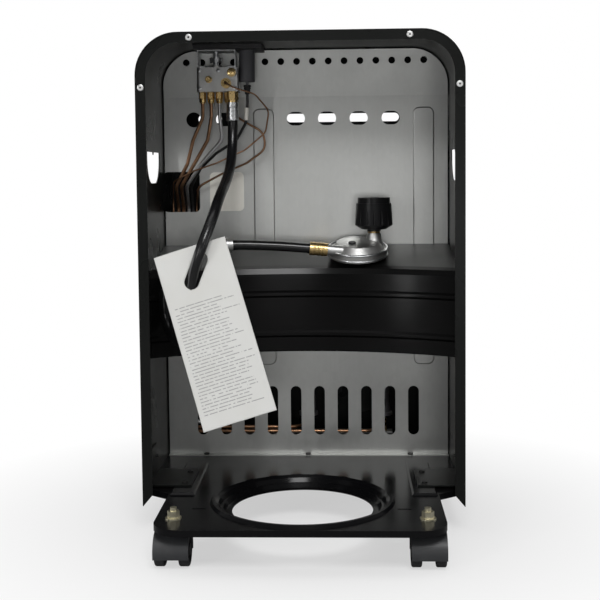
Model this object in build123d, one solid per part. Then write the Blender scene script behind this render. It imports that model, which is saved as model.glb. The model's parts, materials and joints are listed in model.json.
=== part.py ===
from build123d import *
import math
import os

# A portable gas cabinet heater with its rear cover off. Millimetres, +Z up.
# The origin is on the floor under the middle. The burner side faces -Y and the open rear faces +Y.

os.makedirs("parts", exist_ok=True)

# ---------- cabinet ----------
width = 420.0            # over the shell's side walls
height = 653.0           # floor to the shell's top
burner_room = 94.0       # front edge to the heat shield
shield_inset = 214.0     # heat shield, in from the open rear edge
overhang = 148.0         # how far the base plate reaches behind the shell
sheet = 1.2              # shell, panel and bracket steel
fit_gap = 0.4            # between sheets that only pass each other
corner_radius = 55.0     # shell's top corners
shell_bottom = 40.0      # lower edge of the side walls
flange = 13.4            # in-turned rear flange
flange_cut = 16.0        # slanting cut at the foot of each rear flange
corner_plate_reach = 80.0   # corner plate's straight end, in from the shell's corner
rivet_setback = 10.0     # rivet behind the end of the corner plate
rivet_radius = 2.4
rivet_head = 4.3
screw_radius = 2.0
screw_head = 4.0
hole_clear = 0.1         # round a shank

handhold_length = 100.0
handhold_height = 43.0
handhold_z = 482.0
handhold_back = 126.0    # centre, in from the rear edge
handhold_notch = 4.0

# ---------- base ----------
plate_top = 55.5
plate_sheet = 1.5
rim_depth = 8.0
tongue_half = width / 2 - 34.0      # half width of the part behind the shell
tongue_corner = 34.0
dish_inset = 124.0       # dish centre, in from the plate's rear edge
dish_radius = 118.0
dish_hole = 90.0
dish_drop = 11.0
bead_height = 3.5
tab_slot_length = 17.0
tab_slot_width = 4.0
tab_slot_x = 128.0
tab_slot_back = 62.0
strip_inner = width / 2 - 69.0      # raised strips along both sides
strip_raise = 3.0

# ---------- casters ----------
wheel_radius = 20.0
wheel_width = 12.5
wheel_gap = 17.0
axle_radius = 3.0
caster_stem_radius = 4.0
caster_x = width / 2 - 56.0
caster_rear_inset = 47.0
caster_front_inset = 42.0
caster_trail = 8.0       # wheel axle behind the stem
hood_sheet = 2.0
run_gap = 0.05           # turning fits, radial
side_gap = 0.4           # turning fits, axial

# ---------- heat shield ----------
shield_sheet = 1.0
shield_gap = 1.8
crease_z = height - 69.0
shield_lean = 13.0       # rearward lean of the zone above the crease
small_hole = 4.9
small_hole_pitch = 22.9
small_hole_count = 16
small_hole_z = height - 19.0
vent_length = 26.4
vent_height = 19.8
vent_z = height - 101.0
vent_xs = (117.5, 13.7, -31.8, -77.9, -124.5)
round_vent_x = 163.4
round_vent_radius = 11.0
rib_width = 30.0
rib_height = 3.0
rib_xs = (width / 2 - 149.0, 38.0 - width / 2)
rib_top = height - 86.0
rib_bottom = 190.0
slot_width = 15.9
slot_length = 73.0
slot_pitch = 34.75
slot_count = 10
slot_z = 121.0
notch_side = 54.0
notch_low = height - 236.0
notch_high = height - 177.0
shield_foot = 12.0

# ---------- cylinder band ----------
band_gap = 84.0          # middle of the band, behind the shield
band_radius = 396.0
band_low = 223.0
band_high = 341.0
ledge_high = 368.0       # where the sloping ledge meets the shield
band_sheet = 1.2
band_bead = 2.5
band_tab = 16.0

# ---------- burners ----------
burner_count = 3
burner_pitch = (width - 84.0) / burner_count
burner_width = burner_pitch - 8.0
burner_low = 196.0
burner_high = 396.0
burner_depth = 30.0
plaque_width = burner_width - 12.0
plaque_height = 184.0
plaque_thick = 13.0
burner_set_back = 34.0   # plaque face, in from the front
mixer_radius = 11.0
mixer_low = 108.0
jet_radius = 6.0
jet_low = 84.0

# ---------- front ----------
front_return = 12.0
window_half = width / 2 - 32.0
window_low = 176.0
window_high = 416.0
guard_wire = 1.6
guard_pitch = 14.0
front_slot_low = height - 102.0
front_slot_high = height - 89.0
front_slot_gap = 9.0     # between neighbours in a row
front_slot_columns = 8
front_slot_rows = 3

# ---------- controls ----------
knob_x = width / 2 - 86.0
button_x = knob_x - 44.0
control_gap = 49.0       # control axes behind the shield
bezel_width = 96.0
bezel_length = 62.0
bezel_x = knob_x - 19.0
bezel_drop = 5.0
knob_radius = 21.0
knob_height = 15.0
knob_lift = 5.0
pointer_height = 1.2
press_travel = 4.0
stem_radius = 4.0
button_radius = 7.5
button_travel = 6.0
button_depth = 16.0      # the button's bore in the igniter
igniter_radius = 11.0

# ---------- hose and regulator ----------
hose_diameter = 14.0
ferrule_wall = 1.4
handwheel_radius = 27.0
handwheel_height = 45.0
regulator_radius = 42.0

# ---------- derived places ----------
shell_depth = burner_room + shield_inset
depth = shell_depth + overhang
front_y = -depth / 2
plate_rear = depth / 2
rear_y = front_y + shell_depth
shield_y = rear_y - shield_inset
control_y = shield_y + control_gap
inner_half = width / 2 - sheet
inner_top = height - sheet
plate_under = plate_top - plate_sheet
dish_y = plate_rear - dish_inset
band_y = shield_y + band_gap
band_axis_y = band_y + band_radius


# ---------- helpers ----------
def block(x0, x1, y0, y1, z0, z1):
    return Pos((x0 + x1) / 2, (y0 + y1) / 2, (z0 + z1) / 2) * Box(x1 - x0, y1 - y0, z1 - z0)


def rod(radius, start, end):
    start, end = Vector(*start), Vector(*end)
    along = end - start
    return Plane(origin=start, z_dir=along) * Cylinder(
        radius, along.length, align=(Align.CENTER, Align.CENTER, Align.MIN))


def ring(outer, inner, start, end):
    return rod(outer, start, end) - rod(inner, start, end)


def prism_y(sketch, y0, y1):
    """A section drawn in X and Z, run from y0 to y1."""
    return extrude(Plane(origin=(0, y1, 0), x_dir=(1, 0, 0), z_dir=(0, -1, 0)) * sketch, amount=y1 - y0)


def prism_x(sketch, x0, x1):
    """A section drawn in Y and Z, run from x0 to x1."""
    return extrude(Plane(origin=(x0, 0, 0), x_dir=(0, 1, 0), z_dir=(1, 0, 0)) * sketch, amount=x1 - x0)


def prism_z(sketch, z0, z1):
    return Pos(0, 0, z0) * extrude(sketch, amount=z1 - z0)


def polygon(points):
    return make_face(Polyline(*points, close=True))


def cabinet_section(inset, bottom):
    """The shell's outline, square at the foot and round at the top corners."""
    half, top = width / 2 - inset, height - inset
    radius = corner_radius - inset
    return make_face([
        Line((-half, bottom), (-half, top - radius)),
        CenterArc((-half + radius, top - radius), radius, 180, -90),
        Line((-half + radius, top), (half - radius, top)),
        CenterArc((half - radius, top - radius), radius, 90, -90),
        Line((half, top - radius), (half, bottom)),
        Line((half, bottom), (-half, bottom)),
    ])


def obround(x, z, long, short, upright=False):
    return Pos(x, z) * Rot(0, 0, 90 if upright else 0) * SlotOverall(long, short)


def screw(point, direction, shank, head=screw_head, grip=1.8):
    """Pan-head screw: the head stands on the point and the shank goes the other way."""
    point, direction = Vector(*point), Vector(*direction).normalized()
    return rod(head, point, point + direction * grip) + rod(screw_radius, point - direction * shank, point)


def bend_radii(points, most):
    """Each corner's arc: 0.45 of the shorter run over the tangent of half the turn, up to a former's."""
    radii = []
    for before, here, after in zip(points, points[1:], points[2:]):
        first, second = Vector(*here) - Vector(*before), Vector(*after) - Vector(*here)
        turn = math.radians(first.get_angle(second))
        radii.append(min(most, 0.45 * min(first.length, second.length) / math.tan(turn / 2)))
    return radii


def bent_tube(name, diameter, points, most=math.inf):
    """A round tube along straight runs that tangent arcs join."""
    radii = bend_radii(points, most)
    path = FilletPolyline(*points, radius=radii)
    tube = sweep(Plane(origin=path @ 0, z_dir=path % 0) * Circle(diameter / 2), path=path)
    expected = path.length * math.pi * diameter ** 2 / 4
    print(name, "length", round(path.length, 1), "radii", [round(r, 1) for r in radii],
          "volume share", round(tube.volume / expected, 4))
    return tube


def save(name, *shapes):
    solids = [solid for shape in shapes for solid in shape.solids()]
    export_step(solids[0] if len(solids) == 1 else Compound(children=solids), f"parts/{name}.step")


def mirrored(points):
    return [point for x, y, z in points for point in ((x, y, z), (-x, y, z))]


# ---------- cabinet shell ----------
rivet_top_x = width / 2 - corner_plate_reach + rivet_setback
rivet_side_z = height - corner_plate_reach + rivet_setback
rivet_points = mirrored([(rivet_top_x, rear_y, height - flange / 2 - sheet / 2),
                         (width / 2 - flange / 2 - sheet / 2, rear_y, rivet_side_z)])


def make_shell():
    skin = prism_y(cabinet_section(0, shell_bottom) - cabinet_section(sheet, shell_bottom - 1),
                   front_y, rear_y)
    rim = prism_y(cabinet_section(sheet / 2, shell_bottom) - cabinet_section(flange, shell_bottom - 1),
                  rear_y - sheet, rear_y)
    corner = corner_plate_reach - 3 * rivet_setback
    for side in (-1, 1):
        low_x, high_x = sorted((side * (width / 2 - corner), side * (inner_half - fit_gap / 4)))
        rim -= block(low_x, high_x, rear_y - 2 * sheet, rear_y + 1,
                     height - corner, inner_top - fit_gap / 4)
        rim -= prism_y(polygon([(side * width / 2, shell_bottom - 1),
                                (side * (width / 2 - 3), shell_bottom - 1),
                                (side * (width / 2 - flange - 1), shell_bottom - 1),
                                (side * (width / 2 - flange - 1), shell_bottom + flange_cut)]),
                       rear_y - 2 * sheet, rear_y + 1)
    for point in rivet_points:
        rim -= rod(rivet_radius + hole_clear, (point[0], rear_y - 2 * sheet, point[2]),
                   (point[0], rear_y + 1, point[2]))
    y, z = rear_y - handhold_back, handhold_z
    half, low, high = handhold_length / 2, z - handhold_height / 2, z + handhold_height / 2
    radius = min(half, handhold_height) * 0.8
    grip = Pos(y, (low + high) / 2) * Rectangle(2 * half, handhold_height)
    grip = fillet(grip.vertices().sort_by(Axis.Y)[:2], radius)
    grip -= Pos(y, high) * Rot(0, 0, 45) * Rectangle(handhold_notch * 1.4, handhold_notch * 1.4)
    skin -= prism_x(grip, -width, width)
    skin -= block(bezel_x - bezel_width / 2 - fit_gap, bezel_x + bezel_width / 2 + fit_gap,
                  control_y - bezel_length / 2 - fit_gap, control_y + bezel_length / 2 + fit_gap,
                  height - 3 * sheet, height + 1)
    for x, y, z in bracket_wall_points + band_wall_points:
        skin -= rod(screw_radius + hole_clear, (x - 3, y, z), (x + 3, y, z))
    return skin + rim


def make_corner_plates():
    face = cabinet_section(sheet + fit_gap / 4, height - corner_plate_reach) \
        - cabinet_section(flange, height - corner_plate_reach - 1)
    plate = prism_y(face, rear_y - 2 * sheet, rear_y - sheet)
    plate -= block(-width / 2 + corner_plate_reach, width / 2 - corner_plate_reach, -depth, depth,
                   0, height)
    for x, y, z in rivet_points:
        plate -= rod(rivet_radius + hole_clear, (x, y - 3 * sheet, z), (x, y + 1, z))
    return plate


def make_rivets():
    rivets = []
    for x, y, z in rivet_points:
        head = rod(rivet_head, (x, y, z), (x, y + 1.3, z))
        head = fillet(head.edges().group_by(Axis.Y)[-1], 1.0)
        tail = rod(rivet_head * 0.8, (x, y - 2 * sheet - 1.2, z), (x, y - 2 * sheet, z))
        rivets.append(head + rod(rivet_radius, (x, y - 2 * sheet, z), (x, y, z)) + tail)
    return rivets


# ---------- base plate ----------
bracket_y = (rear_y - 94.0, rear_y - 41.0)      # the two screws of each bracket
bracket_floor_x = width / 2 - 50.0
bracket_height = 42.0
bracket_sheet = 2.0
bracket_floor_points = mirrored([(bracket_floor_x, y, plate_top + strip_raise + bracket_sheet)
                                 for y in bracket_y])
bracket_wall_points = mirrored([(width / 2, y, plate_top + 28.0) for y in bracket_y])
band_end_y = band_axis_y - math.sqrt(band_radius ** 2 - inner_half ** 2)
band_wall_points = mirrored([(width / 2, band_end_y - band_tab / 2, z)
                             for z in (band_low + 25, band_high - 25)])
shield_screw_xs = (59.0 - width / 2, 0.0, width / 2 - 59.0)
caster_points = [(side * caster_x, y) for side in (-1, 1)
                 for y in (front_y + caster_front_inset, plate_rear - caster_rear_inset)]


def plate_outline(inset):
    half, tongue = inner_half - fit_gap - inset, tongue_half - inset
    front = front_y + sheet + fit_gap + inset
    rear = plate_rear - inset
    step = rear_y - flange - 14.0 - inset
    outline = polygon([(-half, front), (half, front), (half, step), (tongue, step + half - tongue - 8),
                       (tongue, rear), (-tongue, rear), (-tongue, step + half - tongue - 8), (-half, step)])
    corners = outline.vertices().group_by(Axis.Y)[-1]
    return fillet(corners, tongue_corner - inset)


def make_base_plate():
    plate = prism_z(plate_outline(0), plate_top - rim_depth, plate_top)
    plate -= prism_z(plate_outline(plate_sheet), plate_top - rim_depth - 1, plate_under)
    plate -= Pos(0, dish_y, plate_top) * Cylinder(dish_radius - 1, 4 * plate_sheet)
    flat = dish_hole + 7
    top = [(dish_radius, 0), (dish_radius - 3, bead_height), (dish_radius - 7, bead_height),
           (dish_radius - 11, 0), (dish_radius - 14, -dish_drop / 2), (dish_radius - 17, -dish_drop / 2),
           (flat, -dish_drop), (dish_hole, -dish_drop)]
    under = [(r, z - plate_sheet) for r, z in reversed(top)]
    section = Plane.XZ * polygon(top + under)
    plate += Pos(0, dish_y, plate_top) * revolve(section, Axis.Z)
    strip_front, strip_back = shield_y + 58.0, rear_y + 4.0
    for side in (-1, 1):
        low_x, high_x = sorted((side * strip_inner, side * (tongue_half - 2)))
        strip = block(low_x, high_x, strip_front, strip_back, plate_under, plate_top + strip_raise)
        strip = chamfer(strip.faces().sort_by(Axis.Z)[-1].edges(), strip_raise * 0.8)
        strip -= block(low_x + plate_sheet + 1, high_x - plate_sheet - 1, strip_front + plate_sheet + 1,
                       strip_back - plate_sheet - 1, 0, plate_top + strip_raise - plate_sheet)
        plate -= block(low_x + 2, high_x - 2, strip_front + 2, strip_back - 2, 0, plate_top)
        plate += strip
        plate -= Pos(side * tab_slot_x, rear_y + tab_slot_back, plate_top) * Box(
            tab_slot_length, tab_slot_width, 9)
    for x, y in caster_points:
        plate -= rod(caster_stem_radius + hole_clear, (x, y, plate_top - 5), (x, y, plate_top + 1))
    for x, y, z in bracket_floor_points:
        plate -= rod(screw_radius + hole_clear, (x, y, z - 12), (x, y, z))
    for x in shield_screw_xs:
        y = shield_y + shield_foot / 2
        plate -= rod(screw_radius + hole_clear, (x, y, plate_top - 5), (x, y, plate_top + 1))
    return plate


def make_base_brackets():
    brackets = []
    for side in (-1, 1):
        low_y, high_y = bracket_y[0] - 18, bracket_y[1] + 14
        floor = plate_top + strip_raise
        wall = side * inner_half
        foot_low, foot_high = sorted((wall - side * (inner_half - bracket_floor_x + 10), wall))
        bracket = block(foot_low, foot_high, low_y, high_y, floor, floor + bracket_sheet)
        wall_low, wall_high = sorted((wall - side * bracket_sheet, wall))
        upright = block(wall_low, wall_high, low_y, high_y, floor, floor + bracket_height)
        upright = chamfer(upright.edges().filter_by(Axis.X).group_by(Axis.Z)[-1], 14.0)
        bracket += upright
        for x, y, z in bracket_floor_points:
            bracket -= rod(screw_radius + hole_clear, (x, y, z - 4), (x, y, z + 1))
        for x, y, z in bracket_wall_points:
            bracket -= rod(screw_radius + hole_clear, (x - 6, y, z), (x + 6, y, z))
        brackets.append(bracket)
    return brackets


# ---------- casters ----------
def caster_axle(x, y):
    return x, y + caster_trail, wheel_radius


hood_top = plate_top - rim_depth - 0.8


def make_caster_stem(x, y):
    """Threaded stem with its seat washer, fixed to the plate; the hood turns on its plain foot."""
    stem = rod(caster_stem_radius, (x, y, hood_top - 15), (x, y, plate_top + 14))
    return stem + rod(caster_stem_radius + 6, (x, y, hood_top + side_gap), (x, y, plate_under))


def make_caster_nut(x, y):
    bore = rod(caster_stem_radius + hole_clear, (x, y, plate_top - 1), (x, y, plate_top + 20))
    washer = rod(10.0, (x, y, plate_top), (x, y, plate_top + 1.6))
    nut = Pos(x, y, plate_top + 1.6) * extrude(RegularPolygon(7.5, 6), amount=8.0)
    return washer + nut - bore


def make_caster_hood(x, y):
    """Hub between the wheels, with a hood that arches over them."""
    ax, ay, az = caster_axle(x, y)
    radius = wheel_radius + 2.0 + hood_sheet
    half = wheel_gap / 2 + wheel_width + side_gap
    shell = rod(radius, (ax - half, ay, az), (ax + half, ay, az))
    shell += block(x - half, x + half, y - radius + 8, ay, az + 6, hood_top)
    shell += block(x - 12, x + 12, y - 12, y + 12, az + 6, hood_top)
    shell &= block(x - half, x + half, y - 40, y + 40, az - 9, hood_top)
    for side in (-1, 1):
        inner, outer = ax + side * wheel_gap / 2, ax + side * (half + 1)
        low_x, high_x = min(inner, outer), max(inner, outer)
        shell -= rod(wheel_radius + 1.5, (low_x - side_gap, ay, az), (high_x + side_gap, ay, az))
    low = ay - wheel_radius - 8
    shell -= block(x - half - 1, x + half + 1, low, ay + radius + 2, 0, az - 6)
    shell -= rod(axle_radius + run_gap, (ax - half - 1, ay, az), (ax + half + 1, ay, az))
    shell -= rod(caster_stem_radius + run_gap, (x, y, hood_top - 15 - side_gap), (x, y, hood_top + 1))
    return shell


def make_caster_wheels(x, y):
    """Two wheels on their axle."""
    ax, ay, az = caster_axle(x, y)
    reach = wheel_gap / 2 + wheel_width - 2
    pair = rod(axle_radius, (ax - reach, ay, az), (ax + reach, ay, az))
    for side in (-1, 1):
        inner, outer = ax + side * (wheel_gap / 2), ax + side * (wheel_gap / 2 + wheel_width)
        wheel = rod(wheel_radius, (inner, ay, az), (outer, ay, az))
        wheel = fillet(wheel.edges().filter_by(GeomType.CIRCLE), 2.2)
        recess = ring(wheel_radius - 5, 7, (outer - side * 3, ay, az), (outer + side * 2, ay, az))
        pair += wheel - recess
    return pair


# ---------- heat shield ----------
def shield_outline():
    return cabinet_section(sheet + shield_gap, plate_top)


def make_heat_shield():
    t, top = shield_sheet, height
    side = polygon([(shield_y, plate_top), (shield_y, crease_z), (shield_y + shield_lean, top),
                    (shield_y + shield_lean - t, top), (shield_y - t, crease_z), (shield_y - t, plate_top)])
    shield = prism_x(side, -width / 2, width / 2) & prism_y(shield_outline(), shield_y - 5, shield_y + 40)
    foot_half = inner_half - shield_gap
    shield += block(-foot_half, foot_half, shield_y - t, shield_y + shield_foot, plate_top, plate_top + t)
    for x in rib_xs:
        face = Pos(x, (rib_top + rib_bottom) / 2) * RectangleRounded(rib_width, rib_top - rib_bottom, 9)
        core = Pos(x, (rib_top + rib_bottom) / 2) * RectangleRounded(
            rib_width - 2 * t, rib_top - rib_bottom - 2 * t, 9 - t)
        rib = prism_y(face, shield_y - t, shield_y + rib_height)
        top_edges = rib.faces().sort_by(Axis.Y)[-1].edges()
        shield += fillet(top_edges, rib_height * 0.6)
        shield -= prism_y(core, shield_y - t - 1, shield_y + rib_height - t)
    holes = Sketch()
    for index in range(slot_count):
        x = (index - (slot_count - 1) / 2) * slot_pitch
        holes += obround(x, slot_z, slot_length, slot_width, upright=True)
    for x in vent_xs:
        holes += Pos(x, vent_z) * SlotOverall(vent_length, vent_height)
    for index in range(small_hole_count):
        x = (index - (small_hole_count - 1) / 2) * small_hole_pitch
        holes += Pos(x, small_hole_z) * Circle(small_hole)
    holes += Pos(round_vent_x, vent_z) * Circle(round_vent_radius)
    shield -= prism_y(holes, shield_y - 4, shield_y + shield_lean + 4)
    outer = width / 2
    notch = Pos(outer - notch_side / 2, (notch_low + notch_high) / 2) * RectangleRounded(
        notch_side, notch_high - notch_low, 7)
    shield -= prism_y(notch, shield_y - 4, shield_y + 4)
    for x in shield_screw_xs:
        y = shield_y + shield_foot / 2
        shield -= rod(screw_radius + hole_clear, (x, y, plate_top - 1), (x, y, plate_top + 3))
    return shield


access_x, access_z = knob_x - 8.0, (notch_low + notch_high) / 2


def make_access_plate():
    face = Pos(access_x, access_z) * RectangleRounded(50.0, 57.0, 7.0)
    return prism_y(face, shield_y, shield_y + 1.2)


# ---------- cylinder band ----------
def band_profile(x):
    """Side view of the band and its ledge at one place across the cabinet."""
    face = band_axis_y - math.sqrt(band_radius ** 2 - x ** 2)
    t, low, high, bead = band_sheet, band_low, band_high, band_bead
    back = shield_y + rib_height + fit_gap / 2
    beads = []
    for z in (low + 81, low + 25):
        beads += [(face, z + 5), (face + bead, z + 2), (face + bead, z - 2), (face, z - 5)]
    front = [(back, ledge_high), (face - 12, high + 2), (face - 3, high - 1.5), (face, high - 9),
             *beads, (face, low)]
    rear = [(face - t, low), *[(y - t, z) for y, z in reversed(beads)], (face - t, high - 9),
            (face - 3 - t, high - 2.5), (face - 12, high + 2 - 1.3 * t), (back, ledge_high - 1.3 * t)]
    return Plane(origin=(x, 0, 0), x_dir=(0, 1, 0), z_dir=(1, 0, 0)) * polygon(front + rear)


band_stations = 13


def make_cylinder_band():
    half = inner_half - fit_gap
    xs = [half * (2 * index / (band_stations - 1) - 1) for index in range(band_stations)]
    band = Solid.make_loft([band_profile(x).face().outer_wire() for x in xs])
    for side in (-1, 1):
        low_x, high_x = sorted((side * half, side * (half - 1.5)))
        band += block(low_x, high_x, band_end_y - band_tab, band_end_y, band_low, band_high - 10)
    for x, y, z in band_wall_points:
        band -= rod(screw_radius + hole_clear, (x - 4, y, z), (x + 4, y, z))
    return band


# ---------- burners ----------
burner_xs = [(index - (burner_count - 1) / 2) * burner_pitch for index in range(burner_count)]
plaque_front = front_y + burner_set_back
plaque_back = plaque_front + plaque_thick
box_back = plaque_back + burner_depth
mixer_y = box_back - mixer_radius - 4.0
plaque_z = (burner_low + burner_high) / 2
jet_high = mixer_low + 2.0
rail_sheet = 1.5
burner_names = ("right", "centre", "left")


def make_burner(x):
    """Pressed box behind the ceramic, with its mixing tube below."""
    half = burner_width / 2
    box = block(x - half, x + half, plaque_front + 3, box_back, burner_low, burner_high)
    box = fillet(box.edges().filter_by(Axis.Y), 5)
    lip = block(x - plaque_width / 2 - 0.2, x + plaque_width / 2 + 0.2, plaque_front, plaque_back,
                plaque_z - plaque_height / 2 - 0.2, plaque_z + plaque_height / 2 + 0.2)
    hollow = block(x - half + 4, x + half - 4, plaque_back, box_back - sheet,
                   burner_low + 4, burner_high - 4)
    outer = rod(mixer_radius, (x, mixer_y, mixer_low), (x, mixer_y, burner_low + 2))
    bell = rod(mixer_radius + 3, (x, mixer_y, mixer_low), (x, mixer_y, mixer_low + 5))
    bore = rod(mixer_radius - 1.2, (x, mixer_y, mixer_low - 1), (x, mixer_y, burner_low + 5))
    window = block(x - 4, x + 4, mixer_y - 20, mixer_y + 20, mixer_low + 12, mixer_low + 26)
    return box - lip - hollow + outer + bell - bore - window


def make_plaque(x):
    return block(x - plaque_width / 2, x + plaque_width / 2, plaque_front, plaque_back,
                 plaque_z - plaque_height / 2, plaque_z + plaque_height / 2)


def make_jet(x):
    """Brass gas jet that stands in the mouth of the mixing tube."""
    body = rod(jet_radius, (x, mixer_y, jet_low), (x, mixer_y, jet_high - 8))
    nose = rod(jet_radius * 0.55, (x, mixer_y, jet_high - 8), (x, mixer_y, jet_high + 4))
    return body + nose


def make_jet_bar():
    """Steel bar that carries the jets and, on two legs, the burners."""
    half = burner_pitch + 14
    bar = block(-half, half, mixer_y - 9, mixer_y + 9, jet_low - 3, jet_low)
    for side in (-1, 1):
        x = side * burner_pitch / 2
        bar += block(x - 9, x + 9, mixer_y - 9, mixer_y - 9 + rail_sheet, plate_top, jet_low)
        bar += block(x - 9, x + 9, mixer_y - 9, mixer_y + 9, plate_top, plate_top + rail_sheet)
    return bar


def make_burner_frame():
    """Bright frame round the three burners that closes the gap to the window."""
    half = burner_pitch + burner_width / 2 + 10
    low, high = burner_low - 12, burner_high + 12
    frame = block(-half, half, plaque_front + 5, plaque_front + 5 + rail_sheet, low, high)
    for x in burner_xs:
        frame -= block(x - burner_width / 2 - 0.3, x + burner_width / 2 + 0.3, plaque_front, plaque_back,
                       burner_low - 0.3, burner_high + 0.3)
    for side in (-1, 1):
        low_x, high_x = sorted((side * half, side * (half - rail_sheet)))
        frame += block(low_x, high_x, front_y + front_return + 2, plaque_front + 6, low, high)
    frame += block(-half, half, front_y + front_return + 2, plaque_front + 6, low, low + rail_sheet)
    frame += block(-half, half, front_y + front_return + 2, plaque_front + 6, high - rail_sheet, high)
    frame -= block(pilot_x - 17, pilot_x + 17, pilot_y - 9, pilot_y + 9, low - 1, low + rail_sheet + 1)
    return frame


# ---------- front panel and guard ----------
panel_gap = fit_gap / 2


def make_front_panel():
    inset = sheet + panel_gap
    panel = prism_y(cabinet_section(inset, plate_top), front_y, front_y + front_return)
    panel -= prism_y(cabinet_section(inset + sheet, plate_top - 1), front_y + sheet,
                     front_y + front_return + 1)
    panel += block(-inner_half + panel_gap, inner_half - panel_gap, front_y, front_y + front_return,
                   plate_top, plate_top + sheet)
    window = Pos(0, (window_low + window_high) / 2) * RectangleRounded(
        2 * window_half, window_high - window_low, 12)
    cuts = Sketch() + window
    pitch = vent_xs[1] - vent_xs[2]
    tall = front_slot_high - front_slot_low
    for index in range(front_slot_columns):
        x = vent_xs[1] + (index - front_slot_columns / 2) * pitch
        for row in range(front_slot_rows):
            z = (front_slot_low + front_slot_high) / 2 + (row - 1) * 2 * tall
            cuts += Pos(x, z) * SlotOverall(pitch - front_slot_gap, tall)
    panel -= prism_y(cuts, front_y - 1, front_y + sheet + 1)
    lip = prism_y(window, front_y + sheet / 2, front_y + front_return)
    core = Pos(0, (window_low + window_high) / 2) * RectangleRounded(
        2 * (window_half - sheet), window_high - window_low - 2 * sheet, 12 - sheet)
    return panel + (lip - prism_y(core, front_y - 1, front_y + front_return + 1))


def make_wire_guard():
    """Upright wires welded to cross wires, sprung into the window's lip."""
    half, low, high = window_half - sheet - 2, window_low + sheet + 2, window_high - sheet - 2
    y = front_y + 5.0
    wire = guard_wire
    parts = []
    count = int(2 * half / guard_pitch)
    for index in range(count + 1):
        x = (index - count / 2) * guard_pitch
        parts.append(rod(wire, (x, y, low), (x, y, high)))
    for z in (low + guard_pitch, (2 * low + high) / 3, (low + 2 * high) / 3, high - guard_pitch):
        parts.append(rod(wire, (-half - 1.8, y + 2 * wire - 0.4, z), (half + 1.8, y + 2 * wire - 0.4, z)))
    return parts[0].fuse(*parts[1:])


# ---------- valve, knob and igniter ----------
valve_low, valve_high = height - 65.0, height - 31.0
valve_left, valve_right = knob_x + 26.0, knob_x - 33.0
valve_half = 15.0
stem_depth = 22.0        # the stem's bore goes this far into the valve
bezel_floor = height - bezel_drop
bezel_under = bezel_floor - 2.0
igniter_low = bezel_under - 44.0
collar_low = valve_high + 8.0
inlet_x, inlet_y = knob_x - 24.0, control_y + 13.0
outlet_xs = [knob_x + offset for offset in (-16.0, -4.0, 8.0, 20.0)]
outlet_y = control_y - 2.0
union_length = 9.0
union_end = valve_low - union_length
magnet_z = valve_low + 11.0
magnet_end = control_y + valve_half + 13.0


def make_valve_body():
    body = block(valve_right, valve_left, control_y - valve_half, control_y + valve_half,
                 valve_low, valve_high)
    body = fillet(body.edges().filter_by(Axis.Z), 4)
    body += rod(8.0, (knob_x, control_y, valve_high),
                (knob_x, control_y, collar_low - press_travel - side_gap))
    body += rod(7.0, (inlet_x, inlet_y - 4, valve_high - 8),
                (inlet_x, control_y + valve_half + 7, valve_high - 8))
    return body - rod(stem_radius + run_gap, (knob_x, control_y, valve_high - stem_depth),
                      (knob_x, control_y, height))


def make_valve_bracket():
    low_x, high_x = valve_right + 4, valve_left - 1
    top = block(low_x, high_x, control_y - 14, control_y + 14, bezel_under - 1.5, bezel_under)
    bracket = top
    for x in (low_x, high_x - 1.5):
        bracket += block(x, x + 1.5, control_y - 14, control_y + 14, valve_high, bezel_under)
    bracket += block(low_x, low_x + 11, control_y - 14, control_y + 14, valve_high, valve_high + 1.5)
    bracket += block(high_x - 11, high_x, control_y - 14, control_y + 14, valve_high, valve_high + 1.5)
    return bracket - rod(stem_radius + 2, (knob_x, control_y, valve_high), (knob_x, control_y, height))


def make_valve_stem():
    return rod(stem_radius, (knob_x, control_y, valve_high - stem_depth + press_travel + 1),
               (knob_x, control_y, height + knob_height - 5))


def make_stem_collar():
    collar = rod(8.5, (knob_x, control_y, collar_low), (knob_x, control_y, collar_low + 6))
    return collar - rod(stem_radius + run_gap, (knob_x, control_y, collar_low - 1),
                        (knob_x, control_y, collar_low + 7))


def make_control_knob():
    low, high = bezel_floor + knob_lift, height + knob_height
    knob = Pos(knob_x, control_y, low) * Cone(knob_radius, knob_radius - 2, high - low,
                                              align=(Align.CENTER, Align.CENTER, Align.MIN))
    knob = fillet(knob.edges().group_by(Axis.Z)[-1], 2.0)
    for index in range(18):
        angle = 2 * math.pi * index / 18
        reach = knob_radius + 1.0
        x, y = knob_x + reach * math.cos(angle), control_y + reach * math.sin(angle)
        knob -= rod(2.2, (x, y, low - 1), (x, y, high - 3))
    knob += block(knob_x - 2, knob_x + 2, control_y - knob_radius + 5, control_y - 7,
                  high - 1, high + pointer_height)
    return knob - rod(stem_radius, (knob_x, control_y, low - 1),
                      (knob_x, control_y, height + knob_height - 5))


def make_knob_bezel():
    x, y = bezel_x, control_y
    rim = Pos(x, y, height) * extrude(RectangleRounded(bezel_width + 8, bezel_length + 8, 10), amount=1.6)
    tub = block(x - bezel_width / 2, x + bezel_width / 2, y - bezel_length / 2, y + bezel_length / 2,
                bezel_under, height)
    bezel = rim + tub
    bezel -= Pos(x, y, bezel_floor) * extrude(
        RectangleRounded(bezel_width - 4, bezel_length - 4, 6), amount=30)
    bezel -= rod(stem_radius + 1, (knob_x, y, 0), (knob_x, y, height))
    return bezel - rod(button_radius + side_gap, (button_x, y, 0), (button_x, y, height))


def make_igniter_body():
    low, top = igniter_low, bezel_under
    body = rod(igniter_radius, (button_x, control_y, low), (button_x, control_y, top))
    body += block(button_x - 2, button_x + 2, control_y - 3, control_y + 3, low - 7, low)
    return body - rod(button_radius + run_gap, (button_x, control_y, top - button_depth),
                      (button_x, control_y, height))


def make_igniter_button():
    low = bezel_under - button_depth + button_travel + 1
    button = rod(button_radius, (button_x, control_y, low),
                 (button_x, control_y, height + button_travel - 1))
    return fillet(button.edges().group_by(Axis.Z)[-1], 1.5)


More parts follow.
